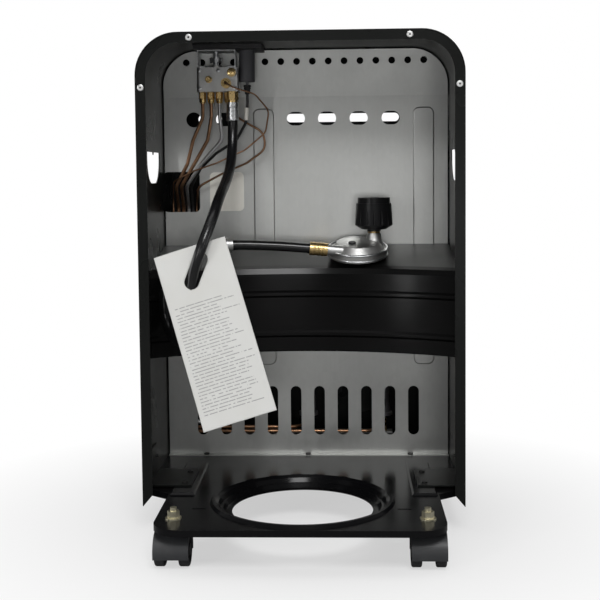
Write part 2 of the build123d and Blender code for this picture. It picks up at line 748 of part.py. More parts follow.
def make_inlet_fitting():
    top = valve_low
    hexagon = Pos(inlet_x, inlet_y, top - 12) * extrude(RegularPolygon(8.5, 6), amount=12)
    return hexagon + rod(hose_diameter / 2, hose_points[0], (inlet_x, inlet_y, top - 12))


def make_outlet_unions():
    hexagon = extrude(RegularPolygon(5.2, 6), amount=union_length)
    return [Pos(x, outlet_y, union_end) * hexagon for x in outlet_xs]


def make_safety_magnet():
    x, y, z = outlet_xs[0], control_y + valve_half, magnet_z
    return rod(7.0, (x, y, z), (x, y + 9, z)) + rod(3.0, (x, y + 9, z), (x, magnet_end, z))


# ---------- pipes and leads that the cabinet holds all the way ----------
lane_y = box_back + 8.0
pipe_bend = 18.0         # bending former for the small pipes
pipe_lanes = [inner_half - inset for inset in (34.8, 27.3, 19.8)]
pipe_runs = (17.0, 10.5, 4.0)      # each pipe's level run, above the jets' feet
lead_lane_y = lane_y + 5.0


def burner_pipe_points(index):
    outlet, lane_x = outlet_xs[index + 1], pipe_lanes[index]
    run_z = jet_low + pipe_runs[index]
    bulge = (-3.0, 6.0, 15.0)[index]
    jet_x = burner_xs[2 - index]
    return [(outlet, outlet_y, union_end), (outlet, outlet_y, union_end - 26),
            (outlet + bulge, outlet_y - 4, union_end - 58),
            ((outlet + lane_x) / 2 + 2, outlet_y - 9, union_end - 92),
            (lane_x - 2, outlet_y - 20, union_end - 124), (lane_x, lane_y, union_end - 154),
            (lane_x, lane_y, run_z), (jet_x + 24, lane_y, run_z),
            (jet_x + 1, mixer_y + jet_radius + 2, run_z)]


pilot_x = burner_pitch / 2
pilot_y = plaque_front - 7.0
pilot_z = burner_low - 8.0
probe_offset = 9.0
first_x = outlet_xs[0]
pilot_lane, ignition_lane = inner_half - 46.8, inner_half - 41.3
thermocouple_lane = inner_half - 12.8
pilot_points = [(first_x, outlet_y, union_end), (first_x, outlet_y, union_end - 17),
                (first_x - 20, control_y - 18, union_end - 31),
                (first_x - 48, control_y - 21, union_end - 47),
                (first_x - 52, control_y - 23, union_end - 71),
                (first_x - 24, control_y - 25, union_end - 91),
                (knob_x - 2, control_y - 29, union_end - 107),
                (pilot_lane - 5, control_y - 35, union_end - 125),
                (pilot_lane, lane_y, union_end - 151), (pilot_lane, lane_y, pilot_z - 26),
                (pilot_x + 14, lane_y, pilot_z - 26), (pilot_x, pilot_y + 20, pilot_z - 26),
                (pilot_x, pilot_y, pilot_z - 22), (pilot_x, pilot_y, pilot_z)]
thermocouple_points = [(first_x, magnet_end, magnet_z), (first_x, magnet_end + 14, magnet_z),
                       (first_x - 14, magnet_end + 24, magnet_z - 9),
                       (first_x - 42, magnet_end + 16, magnet_z - 17),
                       (first_x - 60, control_y + 25, magnet_z - 39),
                       (first_x - 54, control_y + 13, magnet_z - 69),
                       (first_x - 24, control_y + 5, magnet_z - 93),
                       (knob_x, control_y + 9, magnet_z - 111),
                       (thermocouple_lane - 36, control_y + 5, magnet_z - 123),
                       (thermocouple_lane - 6, control_y - 17, magnet_z - 137),
                       (thermocouple_lane, lead_lane_y, magnet_z - 163),
                       (thermocouple_lane, lead_lane_y, pilot_z - 42),
                       (pilot_x + 40, lead_lane_y, pilot_z - 42),
                       (pilot_x + probe_offset + 1, pilot_y + 20, pilot_z - 40),
                       (pilot_x + probe_offset, pilot_y, pilot_z - 24),
                       (pilot_x + probe_offset, pilot_y, pilot_z + 2)]
ignition_start = igniter_low - 7.4
ignition_points = [(button_x, control_y, ignition_start), (button_x, control_y + 1, ignition_start - 20.6),
                   (button_x + 2, control_y - 1, ignition_start - 48.6),
                   (button_x + 18, control_y - 13, ignition_start - 74.6),
                   (knob_x + 4, control_y - 19, ignition_start - 92.6),
                   (ignition_lane - 15.5, control_y - 27, ignition_start - 114.6),
                   (ignition_lane, control_y - 39, ignition_start - 140.6),
                   (ignition_lane, lane_y, ignition_start - 168.6), (ignition_lane, lane_y, pilot_z - 34),
                   (pilot_x - 4, lane_y, pilot_z - 34),
                   (pilot_x - probe_offset, pilot_y + 16, pilot_z - 30),
                   (pilot_x - probe_offset, pilot_y, pilot_z - 20),
                   (pilot_x - probe_offset, pilot_y, pilot_z - 4)]


def make_pilot_burner():
    body = rod(4.5, (pilot_x, pilot_y, pilot_z), (pilot_x, pilot_y, pilot_z + 22))
    return body + block(pilot_x - 5, pilot_x + 5, pilot_y - 3, pilot_y + 3, pilot_z + 18, pilot_z + 24)


def make_pilot_bracket():
    z = pilot_z + 6
    plate = block(pilot_x - 16, pilot_x + 16, pilot_y - 8, plaque_front + 5, z, z + 1.5)
    for x, radius in ((pilot_x, 4.55), (pilot_x + probe_offset, 2.05), (pilot_x - probe_offset, 3.05)):
        plate -= rod(radius, (x, pilot_y, z - 1), (x, pilot_y, z + 3))
    return plate


def make_thermocouple_tip():
    x = pilot_x + probe_offset
    return rod(2.0, (x, pilot_y, pilot_z + 2), (x, pilot_y, pilot_z + 28))


def make_spark_electrode():
    x = pilot_x - probe_offset
    return rod(3.0, (x, pilot_y, pilot_z - 4), (x, pilot_y, pilot_z + 18)) \
        + rod(1.0, (x, pilot_y, pilot_z + 18), (x, pilot_y, pilot_z + 30))


# ---------- hose, regulator and tag ----------
regulator_x, regulator_y, regulator_z = -74.7, shield_y + 56.0, band_high + 22.2
ledge_z = band_high


def hang(share):
    """A height between the cylinder band and the valve."""
    return ledge_z + share * (valve_low - ledge_z)


hose_points = [(inlet_x, inlet_y, valve_low - 28), (inlet_x, inlet_y, hang(0.741)),
               (inlet_x + 1, control_y + 37, hang(0.579)), (inlet_x + 4, control_y + 81, hang(0.482)),
               (inlet_x + 7, control_y + 129, hang(0.417)), (inlet_x + 12, control_y + 173, hang(0.304)),
               (inlet_x + 26, control_y + 193, ledge_z + 35), (inlet_x + 39, control_y + 180, ledge_z - 3),
               (inlet_x + 41, band_y + 142, ledge_z - 60.5), (inlet_x + 54.8, band_y + 118.2, ledge_z - 88),
               (inlet_x + 74.2, band_y + 84.4, ledge_z - 88), (inlet_x + 88, band_y + 61, ledge_z - 60.5),
               (inlet_x + 89, band_y + 62, ledge_z - 19), (inlet_x + 68, band_y + 42, ledge_z + 9),
               (inlet_x + 34, band_y + 17, ledge_z + 31), (inlet_x - 2, band_y + 8, ledge_z + 33),
               (regulator_x + 131.7, band_y + 2, ledge_z + 31.5),
               (regulator_x + 92.7, band_y - 1, ledge_z + 29),
               (regulator_x + 55, band_y - 4, ledge_z + 25.4)]
hose_end = Vector(*hose_points[-1])
hose_end_way = (hose_end - Vector(*hose_points[-2])).normalized()
ferrule_length = 25.0
tail_length = 34.0
wheel_x, wheel_y, wheel_low = regulator_x - 23.3, regulator_y - 10.0, regulator_z + 28.8
sleeve_clear = 0.7
sleeve_in = 12.0
sleeve_length = 23.0
sleeve_start = Vector(*hose_points[-5])      # the sleeve is on the run before the band's clip
sleeve_way = (Vector(*hose_points[-4]) - sleeve_start).normalized()
sleeve_start += sleeve_way * sleeve_in


def make_inlet_ferrule():
    half = ferrule_length / 2
    z = hose_points[0][2]
    return ring(hose_diameter / 2 + ferrule_wall, hose_diameter / 2 + fit_gap,
                (inlet_x, inlet_y, z - half), (inlet_x, inlet_y, z + half))


def make_regulator():
    """Low round body, its outlet tail and the neck that carries the handwheel."""
    x, y, z = regulator_x, regulator_y, regulator_z
    tilt = Location((x, y, z), (-14, 0, 0))
    body = tilt * (Pos(0, 0, -2) * Cylinder(regulator_radius, 10)
                   + Pos(0, 0, 6) * Cone(regulator_radius - 3, regulator_radius - 12, 10)
                   + Pos(0, 0, -8.25) * Cone(regulator_radius - 14, regulator_radius - 5, 2.5))
    arm = block(x - 4, x + 30, y - 4, y + 22, z - 8, z + 8)
    body += fillet(arm.edges().filter_by(Axis.X), 3)
    body += rod(7.5, hose_end + hose_end_way * (ferrule_length / 2 + 1),
                hose_end + hose_end_way * tail_length)
    body += rod(6.0, hose_end + hose_end_way * 0.3, hose_end + hose_end_way * tail_length)
    body += rod(10.0, (wheel_x, wheel_y, z), (wheel_x, wheel_y, wheel_low - 6))
    body += rod(6.0, (wheel_x, wheel_y, wheel_low - 6), (wheel_x, wheel_y, wheel_low + 24))
    return body


def make_regulator_ferrule():
    half = ferrule_length / 2
    return ring(hose_diameter / 2 + ferrule_wall + 0.8, hose_diameter / 2 + fit_gap,
                hose_end - hose_end_way * half, hose_end + hose_end_way * half)


def make_handwheel():
    low, high = wheel_low, wheel_low + handwheel_height
    wheel = Pos(wheel_x, wheel_y, low) * Cone(handwheel_radius, handwheel_radius - 2, handwheel_height - 8,
                                             align=(Align.CENTER, Align.CENTER, Align.MIN))
    wheel = chamfer(wheel.edges().group_by(Axis.Z)[0], 6.0, 10.0)
    wheel += rod(handwheel_radius - 4, (wheel_x, wheel_y, high - 8), (wheel_x, wheel_y, high))
    for index in range(16):
        angle = 2 * math.pi * index / 16
        reach = handwheel_radius + 1.0
        x, y = wheel_x + reach * math.cos(angle), wheel_y + reach * math.sin(angle)
        wheel -= rod(2.6, (x, y, low + 7), (x, y, high - 7))
    wheel -= rod(15.0, (wheel_x, wheel_y, high - 20), (wheel_x, wheel_y, high + 1))
    return wheel - rod(6.0 + run_gap, (wheel_x, wheel_y, low - 1), (wheel_x, wheel_y, high))


def make_hose_sleeve():
    radius = hose_diameter / 2 + sleeve_clear
    return ring(radius + ferrule_wall, radius, sleeve_start, sleeve_start + sleeve_way * sleeve_length)


def make_hose_clip():
    """Zinc clip round the sleeve, its foot on the sloping ledge."""
    radius = hose_diameter / 2 + sleeve_clear + ferrule_wall + 0.2
    middle = sleeve_start + sleeve_way * sleeve_length / 2
    loop = ring(radius + 1.2, radius, middle - sleeve_way * 5, middle + sleeve_way * 5)
    low = band_high + 3.2
    leg = block(middle.X - 5, middle.X + 5, middle.Y - 3, middle.Y + 3, low, middle.Z)
    return loop + (leg - rod(radius + 0.6, middle - sleeve_way * 12, middle + sleeve_way * 12))


tag_length, tag_width, tag_thick = 230.0, 95.0, 0.5
tag_slot, tag_slot_width, tag_slot_drop, tag_slot_turn = 50.0, 19.0, 32.0, 37.0
tag_hole = (inlet_x + 33.0, control_y + 182.0, ledge_z + 9.0)
tag_lean, tag_turn = 12.0, -17.0


def make_tag():
    """Paper tag threaded on the hose: its slot lies round the hose where the hose bends away."""
    slot = Rot(0, 0, 90 + tag_slot_turn) * SlotOverall(tag_slot, tag_slot_width)
    face = Rectangle(tag_width, tag_length) - Pos(0, tag_length / 2 - tag_slot_drop) * slot
    tag = Pos(0, -(tag_length / 2 - tag_slot_drop)) * extrude(face, amount=tag_thick)
    return Location(tag_hole, (90 + tag_lean, 0, 0)) * Rot(0, 0, tag_turn) * tag


tilt_x, tilt_y = inner_half - 26.0, shield_y - 26.0


def make_tilt_switch():
    body = block(tilt_x - 10, tilt_x + 10, tilt_y - 9, tilt_y + 9, plate_top, plate_top + 24)
    return fillet(body.edges().filter_by(Axis.Z), 3)


# ---------- screws ----------
def make_screws():
    parts = []
    for x in shield_screw_xs:
        parts.append(screw((x, shield_y + shield_foot / 2, plate_top + shield_sheet), (0, 0, 1), 8))
    for point in bracket_floor_points:
        parts.append(screw(point, (0, 0, 1), 9))
    for x, y, z in bracket_wall_points + band_wall_points:
        side = math.copysign(1, x)
        parts.append(screw((side * width / 2, y, z), (side, 0, 0), 6, grip=1.4))
    return parts


# ---------- write every piece ----------
save("shell", make_shell())
save("corner_plates", make_corner_plates())
save("corner_rivets", *make_rivets())
save("base_plate", make_base_plate())
save("base_brackets", *make_base_brackets())
save("cabinet_screws", *make_screws())
save("heat_shield", make_heat_shield())
save("access_plate", make_access_plate())
save("cylinder_band", make_cylinder_band())
save("front_panel", make_front_panel())
save("wire_guard", make_wire_guard())
save("burner_frame", make_burner_frame())
save("jet_bar", make_jet_bar())
save("gas_jets", *[make_jet(x) for x in burner_xs])
for name, x in zip(burner_names, burner_xs):
    save(f"burner_{name}", make_burner(x))
    save(f"plaque_{name}", make_plaque(x))
save("valve_body", make_valve_body())
save("valve_bracket", make_valve_bracket())
save("valve_stem", make_valve_stem())
save("stem_collar", make_stem_collar())
save("control_knob", make_control_knob())
save("knob_bezel", make_knob_bezel())
save("igniter_body", make_igniter_body())
save("igniter_button", make_igniter_button())
save("inlet_fitting", make_inlet_fitting())
save("outlet_unions", *make_outlet_unions())
save("safety_magnet", make_safety_magnet())
for index, name in enumerate(("left", "centre", "right")):
    save(f"burner_pipe_{name}", bent_tube(f"burner_pipe_{name}", 5.0, burner_pipe_points(index),
                                              pipe_bend))
save("pilot_pipe", bent_tube("pilot_pipe", 3.0, pilot_points, pipe_bend))
save("thermocouple_lead", bent_tube("thermocouple_lead", 2.2, thermocouple_points, pipe_bend))
save("ignition_lead", bent_tube("ignition_lead", 4.0, ignition_points, pipe_bend))
save("pilot_burner", make_pilot_burner())
save("pilot_bracket", make_pilot_bracket())
save("thermocouple_tip", make_thermocouple_tip())
save("spark_electrode", make_spark_electrode())
save("tilt_switch", make_tilt_switch())
save("hose", bent_tube("hose", hose_diameter, hose_points))
save("inlet_ferrule", make_inlet_ferrule())
save("hose_sleeve", make_hose_sleeve())
save("hose_clip", make_hose_clip())
save("regulator_ferrule", make_regulator_ferrule())
save("regulator", make_regulator())
save("regulator_handwheel", make_handwheel())
save("paper_tag", make_tag())
save("caster_stems", *[make_caster_stem(x, y) for x, y in caster_points])
save("caster_nuts", *[make_caster_nut(x, y) for x, y in caster_points])
caster_names = ("front_right", "rear_right", "front_left", "rear_left")
for name, (x, y) in zip(caster_names, caster_points):
    save(f"caster_hood_{name}", make_caster_hood(x, y))
    save(f"caster_wheels_{name}", make_caster_wheels(x, y))
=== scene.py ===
# %% [markdown]
# A portable gas cabinet heater, seen from its open back.
# The real object is a bent steel cabinet with a galvanised heat shield, a valve, a rubber hose with its
# regulator, and four casters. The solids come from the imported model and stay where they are. This lesson
# gives each of them its finish. Then it adds what is too fine or too soft for solids: the hose, the paper
# tag, the details of valve and regulator, the crosses in the screws, the hub caps and the dial.

# %% Load the frame
import json
import math

import bmesh
import bpy
from mathutils import Matrix, Vector


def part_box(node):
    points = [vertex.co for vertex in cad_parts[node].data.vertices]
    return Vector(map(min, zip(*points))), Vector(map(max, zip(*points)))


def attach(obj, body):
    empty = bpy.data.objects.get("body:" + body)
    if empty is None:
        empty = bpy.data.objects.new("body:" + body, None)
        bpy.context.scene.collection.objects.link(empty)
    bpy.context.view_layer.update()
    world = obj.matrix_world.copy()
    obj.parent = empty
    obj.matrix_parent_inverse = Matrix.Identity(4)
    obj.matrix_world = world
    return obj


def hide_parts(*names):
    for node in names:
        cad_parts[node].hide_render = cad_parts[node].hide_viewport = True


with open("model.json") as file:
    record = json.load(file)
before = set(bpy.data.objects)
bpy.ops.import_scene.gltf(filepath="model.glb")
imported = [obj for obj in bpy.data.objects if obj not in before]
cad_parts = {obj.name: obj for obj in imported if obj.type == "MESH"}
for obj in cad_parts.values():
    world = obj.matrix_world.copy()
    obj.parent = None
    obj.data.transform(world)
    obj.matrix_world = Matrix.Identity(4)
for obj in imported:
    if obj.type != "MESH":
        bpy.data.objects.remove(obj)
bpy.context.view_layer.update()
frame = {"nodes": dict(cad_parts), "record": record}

nodes = frame["nodes"]

# %% [markdown]
# The camera stands where the photographer stood: about a metre and a half behind the open back, a bit to
# the right of the middle and two thirds up. It could be aimed with a constraint, but three turns written
# out are plainer: a half turn to look along -Y, a tilt down, and a slight roll.

# %% Camera
picture_width = 600
focal_pixels = 1122.0         # how far the eye is from the picture, in its own pixels
camera_place = Vector((-0.0552, 1.5119, 0.4712))
turn, tilt, roll = 182.25, 86.13, -0.56
middle_row = 250.0            # the picture row that the lens looks straight at
film_width = 36.0


def turned(degrees, axis):
    return Matrix.Rotation(math.radians(degrees), 4, axis)


def in_scene(name, data):
    """A new object that holds the data, linked to the scene."""
    made = bpy.data.objects.new(name, data)
    bpy.context.scene.collection.objects.link(made)
    return made


camera = in_scene("camera", bpy.data.cameras.new("camera"))
camera.matrix_world = (Matrix.Translation(camera_place) @ turned(turn, "Z")
                       @ turned(tilt, "X") @ turned(roll, "Z"))
camera.data.sensor_width = film_width
camera.data.lens = focal_pixels / picture_width * film_width
camera.data.shift_y = (middle_row - picture_width / 2) / picture_width
bpy.context.scene.camera = camera
print("lens", round(camera.data.lens, 1), "mm, shift", round(camera.data.shift_y, 3))

# %% [markdown]
# A finish is a tree of nodes. Placed by hand, each sum in it is one more node to wire. Here a small class
# wraps an output socket, and Python's own signs add the Math nodes, so that a mask reads like the sum it is.
# The signs work from both sides, because some sums start with a plain number.


# %% A wire with operators
class Wire:
    """An output socket. A sign between wires, or a wire and a number, adds one Math node."""

    def __init__(self, finish, socket):
        self.finish = finish
        self.socket = socket

    def math(self, operation, first, second=0.0):
        return self.finish.node("Math", {"operation": operation}, {0: first, 1: second})

    def __add__(self, other):
        return self.math("ADD", self, other)

    def __radd__(self, other):
        return self.math("ADD", other, self)

    def __sub__(self, other):
        return self.math("SUBTRACT", self, other)

    def __rsub__(self, other):
        return self.math("SUBTRACT", other, self)

    def __mul__(self, other):
        return self.math("MULTIPLY", self, other)

    def __rmul__(self, other):
        return self.math("MULTIPLY", other, self)

    def __truediv__(self, other):
        return self.math("DIVIDE", self, other)

    def above(self, level):
        return self.math("GREATER_THAN", self, level)

    def below(self, level):
        return self.math("LESS_THAN", self, level)


print("wires ready")

# %% [markdown]
# Every finish here ends in one Principled shader. The nodes in front of it could come from a function for
# each kind, but one method is enough: it takes the node's kind, its settings, and what its sockets hold.
# The few short methods under it name the nodes that most finishes need: noise, a ramp, a mix and a bump.


# %% A finish and its one method for nodes
class Finish:
    """A material that is built up on one Principled shader."""

    def __init__(self, name):
        self.material = bpy.data.materials.new(name)
        self.material.use_nodes = True
        self.tree = self.material.node_tree
        self.tree.nodes.clear()
        self.shader = self.tree.nodes.new("ShaderNodeBsdfPrincipled")
        self.output = self.tree.nodes.new("ShaderNodeOutputMaterial")
        self.tree.links.new(self.shader.outputs[0], self.output.inputs["Surface"])

    def node(self, kind, settings=None, sockets=None, out=0):
        made = self.tree.nodes.new("ShaderNode" + kind)
        for name, value in (settings or {}).items():
            setattr(made, name, value)
        for name, value in (sockets or {}).items():
            self.feed(made.inputs[name], value)
        return Wire(self, made.outputs[out])

    def feed(self, socket, value):
        if isinstance(value, Wire):
            self.tree.links.new(value.socket, socket)
        else:
            socket.default_value = value

    def set(self, **sockets):
        """Feed the Principled shader. Base_Color stands for its socket Base Color."""
        for name, value in sockets.items():
            self.feed(self.shader.inputs[name.replace("_", " ")], value)

    def place(self):
        return self.node("TexCoord", out="Object")

    def along(self, axis):
        """One coordinate of the place, in metres."""
        return self.node("SeparateXYZ", {}, {"Vector": self.place()}, out=axis)

    def stretched(self, x, y, z):
        return self.node("Mapping", {}, {"Vector": self.place(), "Scale": (x, y, z)})

    def noise(self, scale, detail=2.0, rough=0.5, vector=None):
        """Noise with about as many grains to the metre as the scale says."""
        return self.node("TexNoise", {}, {"Vector": vector or self.place(), "Scale": scale,
                                          "Detail": detail, "Roughness": rough})

    def ramp(self, value, low, high, start=0.0, end=1.0):
        return self.node("MapRange", {}, {"Value": value, "From Min": low, "From Max": high,
                                          "To Min": start, "To Max": end})

    def mix(self, mask, first, second):
        return self.node("Mix", {"data_type": "RGBA"}, {"Factor": mask, 6: first, 7: second}, out=2)

    def math_of(self, operation, value):
        return self.node("Math", {"operation": operation}, {0: value})

    def up(self):
        """How far a face looks upwards, 0 to 1."""
        normal = self.node("NewGeometry", out="Normal")
        return self.node("SeparateXYZ", {}, {"Vector": normal}, out="Z")

    def bump(self, height, depth):
        return self.node("Bump", {}, {"Height": height, "Distance": depth, "Strength": 1.0})


print("finish class ready")

# %% [markdown]
# The cabinet is powder coated. Such paint looks smooth from a step away, but its skin has the fine dimples
# of orange peel and its gloss wanders a little. Modelled dimples would need millions of faces, so a noise
# of under two millimetres drives a Bump node, and a broad noise moves the roughness. Thin dust settles only
# where a face looks up. The coat mirrors less than real paint, so that black stays black in a white room.

# %% Paint
dust_grey = (0.16, 0.155, 0.15, 1)
coat_index = 1.25


def paint(name, colour, roughness, peel=0.00006, dust=0.10, matt_top=0.0):
    """Peel is the depth of the dimples in metres. Dust and matt_top act on faces that look up."""
    made = Finish(name)
    dimples = made.noise(620.0, 2.0)
    clouds = made.noise(9.0, 3.0)
    specks = made.noise(2400.0, 1.0)
    up = made.up()
    settled = made.ramp(up, 0.85, 1.0) * made.ramp(clouds, 0.35, 0.75) * dust
    dusty = made.mix(settled * made.ramp(specks, 0.4, 0.7), (*colour, 1), dust_grey)
    gloss = made.ramp(clouds, 0.3, 0.7, roughness - 0.03, roughness + 0.05)
    dulled = 0.5 * settled + made.ramp(up, 0.7, 0.95) * matt_top
    made.set(Base_Color=dusty, Roughness=gloss + dulled, IOR=coat_index, Normal=made.bump(dimples, peel))
    return made.material


satin_black = paint("satin_black_powder_coat", (0.0060, 0.0065, 0.0060), 0.28)
gloss_black = paint("gloss_black_enamel", (0.004, 0.004, 0.0045), 0.16, peel=0.00003)
band_enamel = paint("black_band_enamel", (0.003, 0.003, 0.003), 0.18, peel=0.00003, dust=0.05, matt_top=0.18)
print("paints:", satin_black.name, gloss_black.name, band_enamel.name)

# %% [markdown]
# Galvanised sheet is steel with a skin of zinc crystals. Each crystal reflects a little differently, and
# rolling leaves faint upright streaks. A photograph of such a sheet would repeat, so a Voronoi pattern gives
# the crystals and a stretched noise the streaks. Handling leaves dull smears. All of it is metal, so colour
# and roughness carry the whole look.


# %% Galvanised sheet and bare plate
def sheet_metal(name, colour, roughness, spangle=0.05, streak=0.06, smear=0.16):
    """Spangle, streak and smear say how far each pattern sways the brightness."""
    made = Finish(name)
    cells = {"Vector": made.stretched(1.0, 1.0, 0.6), "Scale": 150.0}
    crystals = made.node("TexVoronoi", {}, cells, out="Color")
    crystal = made.node("SeparateColor", {}, {"Color": crystals})
    streaks = made.noise(6.0, 4.0, 0.6, made.stretched(40.0, 40.0, 1.0))
    smears = made.noise(7.0, 3.0, 0.55)
    light = 1.0 + (crystal - 0.5) * spangle + (streaks - 0.5) * streak + (smears - 0.5) * smear
    bright = made.node("VectorMath", {"operation": "SCALE"}, {0: colour, "Scale": light})
    gloss = made.ramp(smears, 0.3, 0.7, roughness - 0.05, roughness + 0.07)
    made.set(Base_Color=bright, Metallic=1.0, Roughness=gloss + crystal * 0.05)
    made.set(Normal=made.bump(streaks * 0.5 + crystal * 0.3, 0.00004))
    return made.material


zinc_sheet = sheet_metal("galvanised_sheet", (0.50, 0.505, 0.49), 0.36)
bare_plate = sheet_metal("bare_plate", (0.80, 0.78, 0.72), 0.44, spangle=0.03, streak=0.10)
print("sheets:", zinc_sheet.name, bare_plate.name)

# %% [markdown]
# Small metal parts are turned, cast, drawn or plated. They differ in colour, in roughness and in the marks
# that the work left. Castings have a coarse skin, turned and drawn parts a fine one, and heat or grease
# darkens all of them in patches. One function for each metal would say the same thing eleven times, so one
# function takes the colour, the grain and the amount of tarnish.


# %% Small metal parts
def metal(name, colour, roughness, grain=900.0, depth=0.00002, tarnish=0.35, dull=(0.10, 0.085, 0.07)):
    """Grain is how fine the skin is, depth its height in metres, dull the colour of the tarnish."""
    made = Finish(name)
    skin = made.noise(grain, 3.0)
    patches = made.noise(55.0, 4.0, 0.6)
    fine = made.noise(420.0, 2.0)
    worn = made.ramp(patches, 0.42, 0.78) * tarnish
    gloss = made.ramp(fine, 0.25, 0.75, roughness - 0.06, roughness + 0.08)
    made.set(Base_Color=made.mix(worn, (*colour, 1), (*dull, 1)), Metallic=1.0 - worn * 0.4)
    made.set(Roughness=gloss + worn * 0.25, Normal=made.bump(skin, depth))
    return made.material


brass = metal("turned_brass", (0.70, 0.50, 0.22), 0.27)
die_cast = metal("die_cast_zinc", (0.60, 0.60, 0.59), 0.40, grain=500.0, depth=0.00009, tarnish=0.25)
drawn_aluminium = metal("drawn_aluminium", (0.72, 0.72, 0.72), 0.33, tarnish=0.15)
drawn_copper = metal("drawn_copper", (0.36, 0.20, 0.115), 0.34, tarnish=0.8, dull=(0.13, 0.08, 0.045))
zinc_plate = metal("bright_zinc", (0.66, 0.67, 0.68), 0.30, tarnish=0.2)
yellow_zinc = metal("yellow_zinc", (0.66, 0.62, 0.46), 0.34, tarnish=0.3)
rivet_alloy = metal("rivet_alloy", (0.80, 0.80, 0.79), 0.34, tarnish=0.1)
bright_steel = metal("bright_steel", (0.60, 0.59, 0.57), 0.28, tarnish=0.25)
guard_wire = metal("plated_wire", (0.70, 0.70, 0.70), 0.18, tarnish=0.15)
heat_enamel = metal("heat_blued_steel", (0.30, 0.30, 0.31), 0.46, tarnish=0.5)
black_oxide = metal("black_oxide_screw", (0.05, 0.05, 0.05), 0.42, tarnish=0.2)
print("small metals made")

# %% [markdown]
# Moulded plastic is dull because the mould is spark eroded, which prints an even grain on it. Rubber hose is
# smoother and shinier, and both carry pale scuffs. Neither is metal, so a base colour, a roughness with some
# noise and a fine bump are enough, and a layered shader would show nothing more.


# %% Plastics and rubber
def plastic(name, colour, roughness, grain=1500.0, depth=0.00003, scuff=0.12, ior=1.45):
    """Grain is how fine the pits are, depth their depth in metres, scuff how much is rubbed pale."""
    made = Finish(name)
    pits = made.noise(grain, 2.0)
    broad = made.noise(24.0, 4.0, 0.65)
    rubbed = made.ramp(broad, 0.55, 0.8) * scuff
    pale = tuple(0.5 * part + 0.10 for part in colour)
    gloss = made.ramp(broad, 0.3, 0.7, roughness, roughness + 0.08)
    made.set(Base_Color=made.mix(rubbed, (*colour, 1), (*pale, 1)), Roughness=gloss + rubbed * 0.4)
    made.set(Normal=made.bump(pits, depth), IOR=ior)
    return made.material


knob_plastic = plastic("black_knob_plastic", (0.016, 0.016, 0.017), 0.42)
wheel_plastic = plastic("fluted_wheel_plastic", (0.006, 0.006, 0.0065), 0.30, scuff=0.02, ior=1.27)
case_plastic = plastic("igniter_case_plastic", (0.05, 0.05, 0.055), 0.45)
red_plastic = plastic("red_button_plastic", (0.42, 0.018, 0.012), 0.22, scuff=0.05)
caster_plastic = plastic("caster_hood_plastic", (0.028, 0.029, 0.031), 0.40, scuff=0.2)
tread_plastic = plastic("caster_wheel_plastic", (0.016, 0.016, 0.017), 0.50, scuff=0.35)
hose_rubber = plastic("hose_rubber", (0.007, 0.007, 0.0075), 0.19, grain=700.0, depth=0.00002, scuff=0.06)
lead_rubber = plastic("lead_rubber", (0.012, 0.012, 0.012), 0.42)
white_sleeve = plastic("woven_glass_sleeve", (0.62, 0.60, 0.55), 0.75, grain=2200.0, depth=0.0001)
print("plastics made")

# %% [markdown]
# Each burner is faced with a ceramic plaque that has hundreds of small holes. Cut as real holes they would
# be far finer than any other shape here, so the pattern is a grid of dots from the sines of two
# coordinates, painted dark as the shade inside the holes, with the same dots in the bump. The spark
# electrode's porcelain is plain, white and smooth, and the plastic finish without scuffs gives that.


# %% Ceramics
def plaque_ceramic(name, pitch=0.0035):
    """Pitch is the length of one wave of the pattern, in metres."""
    made = Finish(name)
    waves = 2 * math.pi / pitch
    dots = made.math_of("SINE", made.along("X") * waves) * made.math_of("SINE", made.along("Z") * waves)
    hole_and_shade = made.ramp(dots * dots, 0.25, 0.55)
    stain = made.noise(14.0, 3.0)
    body = made.mix(made.ramp(stain, 0.4, 0.75) * 0.5, (0.72, 0.64, 0.53, 1), (0.50, 0.42, 0.33, 1))
    # The dark colour in the dots is painted shade inside the holes; the body mix is the ceramic's own colour
    # and stains.
    made.set(Base_Color=made.mix(hole_and_shade, body, (0.05, 0.04, 0.035, 1)), Roughness=0.8)
    made.set(Normal=made.bump(1.0 - hole_and_shade, 0.0006))
    return made.material


burner_ceramic = plaque_ceramic("burner_ceramic")
porcelain = plastic("glazed_porcelain", (0.80, 0.79, 0.75), 0.12, scuff=0.0)
print("ceramics made")

# %% [markdown]
# The record names a material slot for each solid. One table from slot to finish dresses all the solids at
# once, where a line for each solid would be forgotten when one is added. The band behind the cylinder is the
# one exception: its ledge is seen at a flat angle, and a duller top keeps it from being a mirror. The tag's
# slot is not in the table, because a piece of its own takes the tag's place.

# %% Dress the solids
finish_of_slot = {
    "black_paint": satin_black, "black_gloss": gloss_black, "bright_rivet": rivet_alloy,
    "dark_screw": black_oxide, "zinc_sheet": zinc_sheet, "bare_plate": bare_plate,
    "guard_chrome": guard_wire, "bright_steel": bright_steel, "burner_steel": heat_enamel,
    "burner_ceramic": burner_ceramic, "brass": brass, "cast_aluminium": die_cast,
    "aluminium_tube": drawn_aluminium, "copper_tube": drawn_copper, "zinc_part": zinc_plate,
    "nut_zinc": yellow_zinc, "black_plastic": knob_plastic, "igniter_plastic": case_plastic,
    "button_plastic": red_plastic, "wheel_plastic": wheel_plastic, "lead_rubber": lead_rubber,
    "white_ceramic": porcelain, "hose_rubber": hose_rubber, "caster_plastic": caster_plastic,
    "caster_wheel": tread_plastic,
}
finish_of_node = {"cylinder_band": band_enamel}
left_bare = []
for part in frame["record"]["subparts"]:
    finish = finish_of_node.get(part["node"]) or finish_of_slot.get(part["material_slot"])
    if finish:
        solid = nodes[part["node"]].data
        solid.materials.clear()
        solid.materials.append(finish)
    else:
        left_bare.append(part["node"])
print("nodes that wait for a piece of their own:", left_bare)

